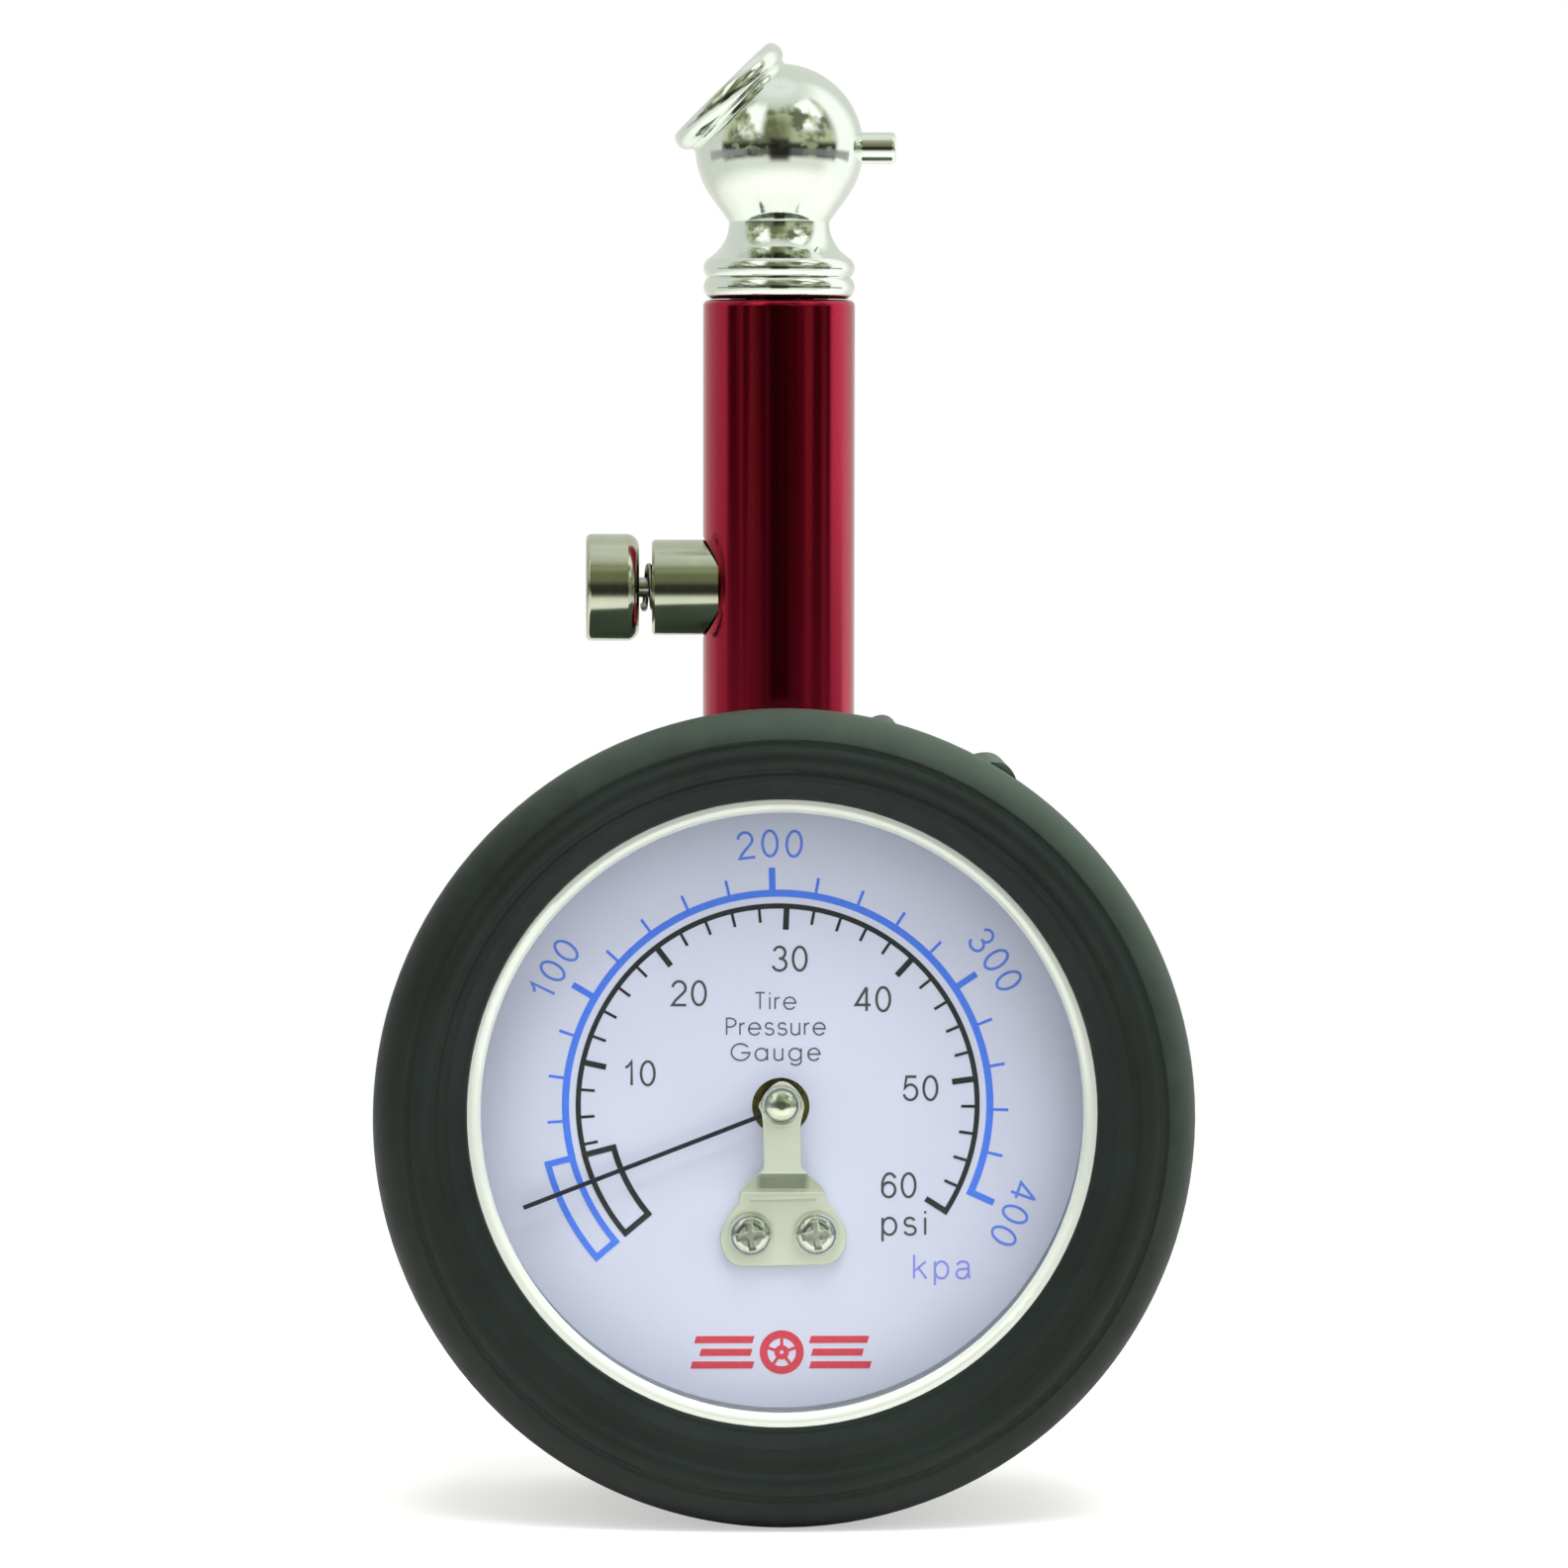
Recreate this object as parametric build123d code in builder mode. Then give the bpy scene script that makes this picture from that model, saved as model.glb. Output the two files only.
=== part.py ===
from build123d import *
import os
from math import acos, atan2, cos, degrees, hypot, pi, radians, sin, tan

os.makedirs("parts", exist_ok=True)

# Dial tyre pressure gauge: rubber-booted head, stem with a bleeder valve, angled ball chuck.
#
# Frame (mm): origin at the centre of the flat back of the boot, on the dial's axis.
# +Z runs up the stem, the dial faces -Y, +X is to the dial's right.

GAP = 0.02                      # thin gap between neighbouring pieces

# --- head ---
BOOT_R = 31.9                   # largest radius of the boot
BOOT_BACK_R = 30.6              # side wall's radius near the back
BOOT_DX, BOOT_DZ = 0.2, -0.55   # the boot sags on the case: its own axis
BOOT_FRONT = -31.0              # front of the boot's bead
LIP_R = 24.4                    # inner edge of the boot's front lip
CASE_R = 25.2
CASE_WALL = 0.5
BEZEL_R = 25.85
BEZEL_IN = 23.35                # bezel's inner edge, the visible opening
BEZEL_FRONT = -28.8
BEZEL_BACK = -21.45
LENS_R = 25.1
LENS_FRONT, LENS_BACK = -28.0, -26.5
DIAL_FACE = -23.0
DIAL_T = 0.5
DIAL_R = 24.55
DIAL_HOLE_R = 2.25

# --- stem ---
STEM_Y = -14.0                  # depth of the stem's axis
TUBE_R = 6.0
TUBE_BOTTOM, TUBE_TOP = 25.3, 63.0
TUBE_EDGE = 0.5                 # rounding of the tube's top edge
TUBE_BORE_R = 2.6
SOCKET_POCKET = 33.2            # top of the counterbore for the socket's nipple
WEB_BOTTOM, WEB_TOP = 45.5, 47.5
CHUCK_POCKET = 54.2             # bottom of the counterbore for the chuck's nipple
NIPPLE_R = 3.95
POCKET_R = 4.0

# --- bleeder valve, its axis along X ---
BLEED_Z = 40.3
KNOB_R, KNOB_OUT, KNOB_IN = 4.22, -15.23, -11.05
KNOB_BORE_END = KNOB_IN - 1.9
BOSS_R, BOSS_OUT, BOSS_IN = 3.77, -10.03, -4.85

# --- chuck; its mouth's lengths are measured from the ball's centre along the mouth's axis ---
BALL_Z, BALL_R = 74.95, 6.62
NECK_R, NECK_Z = 3.96, 69.15
BEAD_R = 5.96
MOUTH_ANGLE = radians(134.5)    # the mouth's axis from +X, in the XZ plane
RIM_R, RIM_START, RIM_END = 5.55, 4.84, 6.5
MOUTH_NECK_R = 4.95
MOUTH_R = 4.15                  # takes a tyre valve's 7.7 mm threaded end
MOUTH_CHAMFER = 0.3
SEAL_R = 4.4                    # groove behind the mouth that holds the seal
SEAL_BACK, SEAL_FRONT = -0.2, 1.8
CHUCK_AIRWAY_R = 1.4
DEFLATOR_R, DEFLATOR_END = 1.24, 9.17

# --- movement ---
SOCKET_HALF_X = 4.5
SOCKET_FRONT, SOCKET_BACK = -21.42, -9.6
FRONT_PLATE_FACE, FRONT_PLATE_BACK = -22.45, -21.45
REAR_PLATE_FACE, REAR_PLATE_BACK = -16.6, -15.7
MODULE = 0.25
PINION_TEETH = 10
SECTOR_TEETH = 100              # on a full circle
SECTOR_DIR = -120.0             # direction of the sector's pivot from the dial's axis
REST_ANGLE = 201.2              # pointer at rest, from +X, seen from the front
POINTER_SWEEP = 233.4           # from rest to full scale, clockwise from the front
POINTER_L = 21.56
TAIL_L = 4.5                    # sector's tail, pivot to link pin
BOURDON_R = 19.0
BOURDON_THICK, BOURDON_DEPTH = 2.2, 7.0     # radial, axial
BOURDON_WALL = 0.3
BOURDON_START, BOURDON_END = 83.0, -160.0   # angles from +X, seen from the front
TIP_PIN_R = 0.4
LINK_PIN_R = 0.35
SECTOR_ARBOR_R = 0.5
PILLAR_R = 0.7
PILLAR_HOLE_R = 0.72
PILLARS = [(8.5, -5.0), (2.5, -13.0), (-11.0, 4.5)]
BRIDGE_TURN = 1.15              # the bridge's small turn, in degrees
BRIDGE_SCREWS = [(-2.37, -10.0), (2.77, -9.95)]
PLATE_SCREW_X, PLATE_SCREW_Z = 2.9, 19.6
PLATE_SCREWS = [(-PLATE_SCREW_X, PLATE_SCREW_Z), (PLATE_SCREW_X, PLATE_SCREW_Z)]


# ---------------------------------------------------------------------------
# Helpers
# ---------------------------------------------------------------------------
def polar(radius, angle, centre=(0, 0)):
    """The point at a radius and an angle in radians from a centre."""
    return (centre[0] + radius * cos(angle), centre[1] + radius * sin(angle))


def middle(start, end):
    return ((start[0] + end[0]) / 2, (start[1] + end[1]) / 2)


def front_plane(y, z=0):
    """Plane facing the viewer: local x is +X, local y is +Z, extruding goes to the front."""
    return Plane(origin=(0, y, z), x_dir=(1, 0, 0), z_dir=(0, -1, 0))


def side_plane(x, z, side):
    """Plane across X, centred on the stem's depth; extruding goes towards side (+1 or -1)."""
    return Plane(origin=(x, STEM_Y, z), x_dir=(0, 1, 0), z_dir=(side, 0, 0))


def radial_plane(angle):
    """Half plane through the dial's axis: local x is the radius, local y is +Y."""
    c, s = cos(radians(angle)), sin(radians(angle))
    return Plane(origin=(0, 0, 0), x_dir=(c, 0, s), z_dir=(-s, 0, c))


def outline(*steps, closed=True):
    """Draw an outline in the open BuildLine.

    A step is a point, reached by a straight line, or an arc's (middle, end) pair of points.
    """
    here = steps[0]
    for step in steps[1:]:
        if isinstance(step[0], tuple):
            through, end = step
            ThreePointArc(here, through, end)
        else:
            end = step
            Line(here, end)
        here = end
    if closed and here != steps[0]:
        Line(here, steps[0])


def turned(section, axis, *steps):
    """A piece made by one full revolve of an outline."""
    with BuildPart() as piece:
        with BuildSketch(section):
            with BuildLine():
                outline(*steps)
            make_face()
        revolve(axis=axis)
    return piece.part


def disc(y, radius, length, centre=(0, 0)):
    """A plain disc or pin that runs to the front from depth y."""
    with BuildPart() as piece:
        with BuildSketch(front_plane(y)):
            with Locations(centre):
                Circle(radius)
        extrude(amount=length)
    return piece.part


def coil(base, direction, radius, wire_r, length, turns):
    """A compression spring: a round wire swept along a helix from base."""
    rise = length - 2 * wire_r
    with BuildPart() as spring:
        with BuildLine() as path:
            Helix(
                pitch=rise / turns, height=rise, radius=radius, center=base, direction=direction
            )
        line = path.line
        with BuildSketch(Plane(origin=line @ 0, z_dir=line % 0)):
            Circle(wire_r)
        sweep(path=line)
    return spring.part


# Section planes for revolves, with their axes
DIAL_SECTION = Plane.XY                       # local x is the radius, local y is +Y
STEM_SECTION = front_plane(STEM_Y)            # local x is the radius, local y is +Z
STEM_AXIS = Axis((0, STEM_Y, 0), (0, 0, 1))
BLEED_SECTION = front_plane(STEM_Y, BLEED_Z)  # local x is +X, local y is the radius
BLEED_AXIS = Axis((0, STEM_Y, BLEED_Z), (1, 0, 0))
BALL_CENTRE = (0, STEM_Y, BALL_Z)
DEFLATOR_SECTION = front_plane(STEM_Y, BALL_Z)
MOUTH_X, MOUTH_Z = polar(1, MOUTH_ANGLE)
MOUTH_DIR = (MOUTH_X, 0, MOUTH_Z)
# local x is the radius, local y runs out of the mouth
MOUTH_SECTION = Plane(origin=BALL_CENTRE, x_dir=(MOUTH_Z, 0, -MOUTH_X), z_dir=(0, -1, 0))
MOUTH_AXIS = Axis(BALL_CENTRE, MOUTH_DIR)

# ---------------------------------------------------------------------------
# Head
# ---------------------------------------------------------------------------
BOOT_SECTION = Plane(origin=(BOOT_DX, 0, BOOT_DZ), x_dir=(1, 0, 0), z_dir=(0, 0, 1))
BOOT_CUT_R = 25.9               # bezel's seat and outer edge of the sloping lip

# Moulded lugs, (x, z): the curved crest, then the corners inside the wall
BOOT_LUGS = [
    (
        [(6.9, 29.35), (7.9, 30.0), (8.75, 29.98), (9.15, 29.7), (9.42, 29.1)],
        [(8.8, 27.0), (6.5, 27.6)],
    ),
    (
        [
            (14.7, 26.6), (16.3, 27.06), (17.25, 26.95),
            (17.8, 26.55), (18.2, 25.85), (18.75, 24.6),
        ],
        [(17.0, 22.6), (13.4, 24.4)],
    ),
]


def rubber_boot():
    """Tyre-like cup. Its front has, from the opening out, a sloping lip, a crease, a round
    bead, a second crease and a broad shoulder."""
    with BuildPart() as boot:
        with BuildSketch(BOOT_SECTION):
            with BuildLine():
                outline(
                    (0, 0),
                    (28.1, 0),
                    ((29.95, -0.95), (BOOT_BACK_R, -3.1)),
                    (BOOT_R, -26.6),
                    ((31.22, -29.2), (29.68, -30.4)),
                    ((29.4, -30.33), (29.12, -30.42)),
                    ((28.22, BOOT_FRONT + 0.1), (27.32, -30.48)),
                    ((27.1, -30.38), (26.88, -30.42)),
                    (26.3, -30.3),
                    (0, -30.3),
                )
            make_face()
        revolve(axis=Axis((BOOT_DX, 0, BOOT_DZ), (0, 1, 0)))
        # two small lugs on the side wall, right of the stem
        with BuildSketch(Plane.XZ.offset(11.0)):
            for crest, inner_corners in BOOT_LUGS:
                with BuildLine():
                    Spline(*crest)
                    Polyline(crest[-1], *inner_corners, crest[0])
                make_face()
        extrude(amount=14.0)
        # case pocket, bezel seat and sloping lip, all on the dial's axis
        with BuildSketch(DIAL_SECTION):
            with BuildLine():
                outline(
                    (0, -2.45),
                    (25.25, -2.45),
                    (25.25, -21.4),
                    (BOOT_CUT_R, -21.4),
                    (BOOT_CUT_R, -28.82),
                    (LIP_R, -28.82),
                    ((24.52, -29.1), (24.85, -29.3)),
                    ((25.35, -29.75), (BOOT_CUT_R, -30.32)),
                    (BOOT_CUT_R, -32.0),
                    (0, -32.0),
                )
            make_face()
        revolve(axis=Axis.Y, mode=Mode.SUBTRACT)
        # the stem's hole through the top of the wall
        with BuildSketch(Plane.XY.offset(20.0)):
            with Locations((0, STEM_Y)):
                Circle(TUBE_R + 0.1)
        extrude(amount=15.0, mode=Mode.SUBTRACT)
    return boot.part


def case_cup():
    """Drawn cup, open to the front."""
    back = -2.5
    corner_r, corner_y = 22.7, -5.0     # where the rounded corner starts and ends
    inside_r = CASE_R - CASE_WALL
    rim = LENS_BACK + GAP
    with BuildPart() as case:
        with BuildSketch(DIAL_SECTION):
            with BuildLine():
                outline(
                    (0, back),
                    (corner_r, back),
                    ((24.46, -3.24), (CASE_R, corner_y)),
                    (CASE_R, rim),
                    (inside_r, rim),
                    (inside_r, corner_y),
                    ((24.1, -3.6), (corner_r, back - CASE_WALL)),
                    (0, back - CASE_WALL),
                )
            make_face()
        revolve(axis=Axis.Y)
        # the socket's hole at the top
        with BuildSketch(Plane.XY.offset(20.0)):
            with Locations((0, STEM_Y)):
                Circle(POCKET_R + 0.05)
        extrude(amount=8.0, mode=Mode.SUBTRACT)
    return case.part


def bezel_ring():
    return turned(
        DIAL_SECTION,
        Axis.Y,
        (25.25, BEZEL_BACK),
        (BEZEL_R, BEZEL_BACK),
        (BEZEL_R, -28.0),
        ((25.62, -28.56), (25.05, BEZEL_FRONT)),
        (24.15, BEZEL_FRONT),
        ((23.6, -28.62), (BEZEL_IN, -28.15)),
        (23.55, -28.05),
        (23.85, -28.3),
        (25.25, -28.3),
    )


def lens_gasket():
    inner_r, front, back = 24.0, -28.28, LENS_FRONT - GAP
    return turned(
        DIAL_SECTION, Axis.Y,
        (inner_r, front), (LENS_R, front), (LENS_R, back), (inner_r, back),
    )


def lens():
    return disc(LENS_BACK, LENS_R, LENS_BACK - LENS_FRONT)


def dial_retainer():
    """Ring between the lens and the dial."""
    outer_r, inner_r, foot_r = 24.6, 23.85, 23.7
    front, back = LENS_BACK + 0.03, DIAL_FACE - GAP
    return turned(
        DIAL_SECTION,
        Axis.Y,
        (inner_r, front),
        (outer_r, front),
        (outer_r, back),
        (foot_r, back),
        (foot_r, DIAL_FACE - 0.35),
        (inner_r, DIAL_FACE - 0.55),
    )


def dial_plate():
    with BuildPart() as dial:
        with BuildSketch(front_plane(DIAL_FACE + DIAL_T)):
            Circle(DIAL_R)
            Circle(DIAL_HOLE_R, mode=Mode.SUBTRACT)
            with Locations(*BRIDGE_SCREWS):
                Circle(1.0, mode=Mode.SUBTRACT)
        extrude(amount=DIAL_T)
    return dial.part


# ---------------------------------------------------------------------------
# Front bridge: a pressed plate, cranked forward over the pointer
# ---------------------------------------------------------------------------
ARM_FRONT, ARM_BACK = -25.4, -24.8
FOOT_FRONT, FOOT_BACK = -23.6, -23.0
BRIDGE_BACK = -22.0             # start of the blank that the bridge is cut from
BRIDGE_SECTION = front_plane(BRIDGE_BACK) * Rot(0, 0, BRIDGE_TURN)
DOME_Z = 0.3
DOME_BACK, DOME_FRONT = -25.25, -26.16

# Right half of the bridge's front outline, (x, z), from the arm down
ARM_SIDE = (1.46, -1.6)
SHOULDER = [(1.46, -4.3), (1.85, -5.0), (2.75, -5.95), (3.25, -6.6), (3.4, -7.35)]
FOOT = [(3.4, -7.35), (3.85, -7.95), (4.4, -8.75), (4.93, -10.1), (4.6, -11.5), (3.0, -12.45)]

# Side view of the bent strip, (y, z)
BRIDGE_SIDE = [
    (ARM_FRONT, 3), (ARM_FRONT, -5.0), (-25.1, -5.3), (-23.85, -6.35),
    (FOOT_FRONT, -6.7), (FOOT_FRONT, -13), (FOOT_BACK, -13), (FOOT_BACK, -6.45),
    (-23.3, -6.05), (-24.35, -5.0), (ARM_BACK, -4.8), (ARM_BACK, 3),
]


def bridge():
    arm_x, arm_z = ARM_SIDE
    with BuildPart() as strip:
        with BuildSketch(BRIDGE_SECTION):
            with BuildLine():
                for side in (1, -1):
                    shoulder = [(side * x, z) for x, z in SHOULDER]
                    foot = [(side * x, z) for x, z in FOOT]
                    Line((side * arm_x, arm_z), shoulder[0])
                    Spline(*shoulder, tangents=[(0, -1), (0, -1)])
                    Spline(*foot, tangents=[(side * 0.35, -1), (-side, 0)])
                foot_x, foot_z = FOOT[-1]
                Line((foot_x, foot_z), (-foot_x, foot_z))
                # rounded top of the arm
                Spline(
                    ARM_SIDE, (1.76, 0.3), (0, 2.15), (-1.76, 0.3), (-arm_x, arm_z),
                    tangents=[(0, 1), (0, -1)],
                )
            make_face()
        extrude(amount=5.0)
        # keep only the bent strip
        with BuildSketch(Plane.YZ.offset(-6.0)):
            with BuildLine():
                outline(*BRIDGE_SIDE)
            make_face()
        extrude(amount=12.0, mode=Mode.INTERSECT)
        with BuildSketch(front_plane(BRIDGE_BACK)):
            with Locations(*BRIDGE_SCREWS):
                Circle(0.95)
        extrude(amount=5.0, mode=Mode.SUBTRACT)
        # shallow bend mark across the foot's front
        with BuildSketch(BRIDGE_SECTION * Pos(0, 0, BRIDGE_BACK - FOOT_FRONT)):
            with Locations((0.0, -7.25)):
                SlotOverall(5.2, 0.16)
        extrude(amount=-0.06, mode=Mode.SUBTRACT)
        # domed bearing for the pointer's arbor
        with BuildSketch(Plane(origin=(0, 0, DOME_Z), x_dir=(1, 0, 0), z_dir=(0, 0, 1))):
            with BuildLine():
                outline(
                    (1.6, DOME_BACK),
                    ((1.14, -25.86), (0.28, DOME_FRONT)),
                    (0, DOME_FRONT),
                    (0, DOME_BACK),
                )
            make_face()
        revolve(axis=Axis((0, 0, DOME_Z), (0, 1, 0)))
        # bearing hole from behind
        with BuildSketch(front_plane(ARM_BACK)):
            Circle(0.34)
        extrude(amount=0.95, mode=Mode.SUBTRACT)
    return strip.part


def bridge_screws():
    """Two round-headed screws with cross recesses."""
    shank_back, head_back, head_h = -21.0, FOOT_FRONT - GAP, 1.05
    cross_l, cross_w = 2.3, 0.58
    with BuildPart() as screws:
        with BuildSketch(front_plane(shank_back)):
            with Locations(*BRIDGE_SCREWS):
                Circle(0.8)
        extrude(amount=shank_back - head_back)
        with BuildSketch(front_plane(head_back)):
            with Locations(*BRIDGE_SCREWS):
                Circle(1.75)
        extrude(amount=head_h)
        front_edges = screws.edges().filter_by(GeomType.CIRCLE).group_by(Axis.Y)[0]
        fillet(front_edges, radius=0.85)
        with BuildSketch(front_plane(head_back - head_h)):
            with Locations(*[Location((x, z), 8) for x, z in BRIDGE_SCREWS]):
                Rectangle(cross_l, cross_w)
                Rectangle(cross_w, cross_l)
                Circle(0.5)
        extrude(amount=-0.75, taper=10, mode=Mode.SUBTRACT)
    return screws.part


# ---------------------------------------------------------------------------
# Movement: derived places, (x, z)
# ---------------------------------------------------------------------------
SECTOR_PITCH_R = MODULE * SECTOR_TEETH / 2
PINION_PITCH_R = MODULE * PINION_TEETH / 2
SECTOR_PIVOT = polar(SECTOR_PITCH_R + PINION_PITCH_R, radians(SECTOR_DIR))
SECTOR_SWEEP = POINTER_SWEEP * PINION_TEETH / SECTOR_TEETH
TAIL_ANGLE = 180.0 - SECTOR_SWEEP / 2
TAIL_END = polar(TAIL_L, radians(TAIL_ANGLE), SECTOR_PIVOT)
TIP_PIN = polar(15.3, radians(-162.0))


def movement_front_plate():
    thickness = FRONT_PLATE_BACK - FRONT_PLATE_FACE
    with BuildPart() as plate:
        with BuildSketch(front_plane(FRONT_PLATE_BACK)):
            Circle(15.6)
            with Locations((0, 14.0)):
                RectangleRounded(10.0, 17.4, 1.5)
            Circle(1.7, mode=Mode.SUBTRACT)
            with Locations(SECTOR_PIVOT):
                Circle(SECTOR_ARBOR_R + 0.04, mode=Mode.SUBTRACT)
            with Locations(*BRIDGE_SCREWS):
                Circle(0.83, mode=Mode.SUBTRACT)
            with Locations(*PILLARS):
                Circle(PILLAR_HOLE_R, mode=Mode.SUBTRACT)
            # lightening windows
            with Locations((9.2, 4.6), (-7.4, 9.6)):
                Circle(2.6, mode=Mode.SUBTRACT)
        extrude(amount=thickness)
        with Locations(*[Location((x, FRONT_PLATE_FACE, z), (90, 0, 0)) for x, z in PLATE_SCREWS]):
            CounterSinkHole(0.85, 1.5, depth=thickness)
    return plate.part


def plate_screws():
    """Two slotted countersunk screws that hold the front plate to the socket."""
    head_front, head_back, tip = FRONT_PLATE_FACE + 0.05, FRONT_PLATE_FACE + 0.75, -18.6
    head_r, shank_r = 1.4, 0.8
    with BuildPart() as screws:
        for x, z in PLATE_SCREWS:
            with BuildSketch(Plane.XY.offset(z)):
                with BuildLine():
                    outline(
                        (x, head_front),
                        (x + head_r, head_front),
                        (x + shank_r, head_back),
                        (x + shank_r, tip),
                        (x, tip),
                    )
                make_face()
            revolve(axis=Axis((x, 0, z), (0, 1, 0)))
        with BuildSketch(front_plane(head_front)):
            with Locations(*PLATE_SCREWS):
                Rectangle(3.2, 0.35)
        extrude(amount=-0.4, mode=Mode.SUBTRACT)
    return screws.part


def movement_rear_plate():
    with BuildPart() as plate:
        with BuildSketch(front_plane(REAR_PLATE_BACK)):
            with BuildLine():
                outline(PILLARS[0], PILLARS[1], SECTOR_PIVOT, PILLARS[2])
            make_face()
            offset(amount=1.9, kind=Kind.ARC)
            Circle(0.38, mode=Mode.SUBTRACT)
            with Locations(SECTOR_PIVOT):
                Circle(SECTOR_ARBOR_R + 0.04, mode=Mode.SUBTRACT)
            with Locations(*PILLARS):
                Circle(PILLAR_HOLE_R, mode=Mode.SUBTRACT)
        extrude(amount=REAR_PLATE_BACK - REAR_PLATE_FACE)
    return plate.part


def plate_pillars():
    """Three pins through both plates, each with a thicker collar between them."""
    pin_back = REAR_PLATE_BACK + 0.1
    with BuildPart() as pillars:
        with BuildSketch(front_plane(pin_back)):
            with Locations(*PILLARS):
                Circle(PILLAR_R)
        extrude(amount=pin_back - FRONT_PLATE_FACE)
        with BuildSketch(front_plane(REAR_PLATE_FACE - GAP / 2)):
            with Locations(*PILLARS):
                Circle(1.15)
        extrude(amount=REAR_PLATE_FACE - FRONT_PLATE_BACK - GAP)
    return pillars.part


def stem_socket():
    """Pressure inlet block. Its nipple passes the case wall into the stem."""
    with BuildPart() as socket:
        with BuildSketch(Plane.XY.offset(13.0)):
            with Locations((0, (SOCKET_FRONT + SOCKET_BACK) / 2)):
                RectangleRounded(2 * SOCKET_HALF_X, SOCKET_BACK - SOCKET_FRONT, 0.6)
        extrude(amount=11.2)
        with BuildSketch(Plane.XY.offset(24.2)):
            with Locations((0, STEM_Y)):
                Circle(NIPPLE_R)
        extrude(amount=8.6)
        # bore down from the nipple's top
        with BuildSketch(Plane.XY.offset(18.6)):
            with Locations((0, STEM_Y)):
                Circle(1.2)
        extrude(amount=14.3, mode=Mode.SUBTRACT)
        # slot for the Bourdon tube's root, following its arc
        with BuildSketch(Plane.XY):
            with Locations((BOURDON_R, STEM_Y)):
                SlotOverall(BOURDON_DEPTH + 0.5, BOURDON_THICK + 0.5, rotation=90)
        revolve(
            axis=Axis((0, 0, 0), (0, -1, 0)), revolution_arc=84.8, mode=Mode.SUBTRACT
        )
        # way from the bore into the slot
        with BuildSketch(Plane.YZ):
            with Locations((STEM_Y, 19.2)):
                Circle(0.7)
        extrude(amount=3.0, mode=Mode.SUBTRACT)
        # plate screws' holes
        with BuildSketch(front_plane(-18.5)):
            with Locations(*PLATE_SCREWS):
                Circle(0.82)
        extrude(amount=3.5, mode=Mode.SUBTRACT)
    return socket.part


def bourdon_tube():
    """Flattened tube bent into an arc, clockwise from its root as seen from the front."""
    bore_depth = BOURDON_DEPTH - 2 * BOURDON_WALL
    bore_thick = BOURDON_THICK - 2 * BOURDON_WALL
    with BuildPart() as tube:
        with BuildSketch(radial_plane(BOURDON_START)):
            with Locations((BOURDON_R, STEM_Y)):
                SlotOverall(BOURDON_DEPTH, BOURDON_THICK, rotation=90)
                SlotOverall(bore_depth, bore_thick, rotation=90, mode=Mode.SUBTRACT)
        revolve(axis=Axis((0, 0, 0), (0, 1, 0)), revolution_arc=BOURDON_START - BOURDON_END)
    return tube.part


def tube_end_cap():
    tip_x, tip_z = TIP_PIN
    with BuildPart() as cap:
        with BuildSketch(radial_plane(BOURDON_END)):
            with Locations((BOURDON_R, STEM_Y)):
                RectangleRounded(3.2, 8.0, 0.6)
        revolve(axis=Axis((0, 0, 0), (0, 1, 0)), revolution_arc=6.5)
        # lug that carries the link's pin
        with BuildSketch(front_plane(-16.7)):
            with BuildLine():
                outline(
                    (tip_x - 0.1, tip_z - 1.0),
                    polar(18.0, radians(-160.6)),
                    polar(18.0, radians(-166.0)),
                    (tip_x - 0.4, tip_z + 1.0),
                )
            make_face()
            with Locations(TIP_PIN):
                Circle(1.0)
                Circle(TIP_PIN_R + 0.02, mode=Mode.SUBTRACT)
        extrude(amount=0.9)
    return cap.part


def tip_pin():
    return disc(-16.75, TIP_PIN_R, 2.4, TIP_PIN)


# ---------------------------------------------------------------------------
# Gears
# ---------------------------------------------------------------------------
PRESSURE_ANGLE = radians(20)
PINION_STEP = 360 / PINION_TEETH
SECTOR_STEP = 360 / SECTOR_TEETH


def involute(angle):
    return tan(angle) - angle


def tooth_flank(pitch_r, tip_r, root_r, thickness, count=7):
    """(radius, half angle) pairs of an involute tooth, root to tip."""
    base_r = pitch_r * cos(PRESSURE_ANGLE)
    base_half = thickness / 2 / pitch_r + involute(PRESSURE_ANGLE)
    start = max(base_r, root_r)
    radii = [start + (tip_r - start) * k / (count - 1) for k in range(count)]
    if root_r < base_r:
        radii.insert(0, root_r)
    return [(r, base_half - (involute(acos(base_r / r)) if r > base_r else 0.0)) for r in radii]


def gear_points(centre, tooth_angles, flank):
    """Outline points of the teeth that stand at the given angles in degrees."""
    points = []
    for tooth_angle in tooth_angles:
        angle = radians(tooth_angle)
        points += [polar(r, angle - half, centre) for r, half in flank]
        points += [polar(r, angle + half, centre) for r, half in reversed(flank)]
    return points


def pinion_arbor():
    flank = tooth_flank(
        PINION_PITCH_R,
        tip_r=PINION_PITCH_R + 0.85 * MODULE,
        root_r=PINION_PITCH_R - 1.1 * MODULE,
        thickness=0.45 * pi * MODULE,
    )
    # a gap, not a tooth, points at the sector's pivot
    tooth_angles = [SECTOR_DIR + PINION_STEP / 2 + PINION_STEP * k for k in range(PINION_TEETH)]
    with BuildPart() as arbor:
        with BuildSketch(front_plane(-18.9)):
            with BuildLine():
                outline(*gear_points((0, 0), tooth_angles, flank))
            make_face()
        extrude(amount=1.5)
        with BuildSketch(DIAL_SECTION):
            with BuildLine():
                outline(
                    (0, -25.7), (0.3, -25.7), (0.3, -24.75), (0.55, -24.75), (0.55, -23.3),
                    (0.85, -23.3), (0.85, -16.65), (0.34, -16.65), (0.34, -15.75), (0, -15.75),
                )
            make_face()
        revolve(axis=Axis.Y)
    return arbor.part


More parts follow.
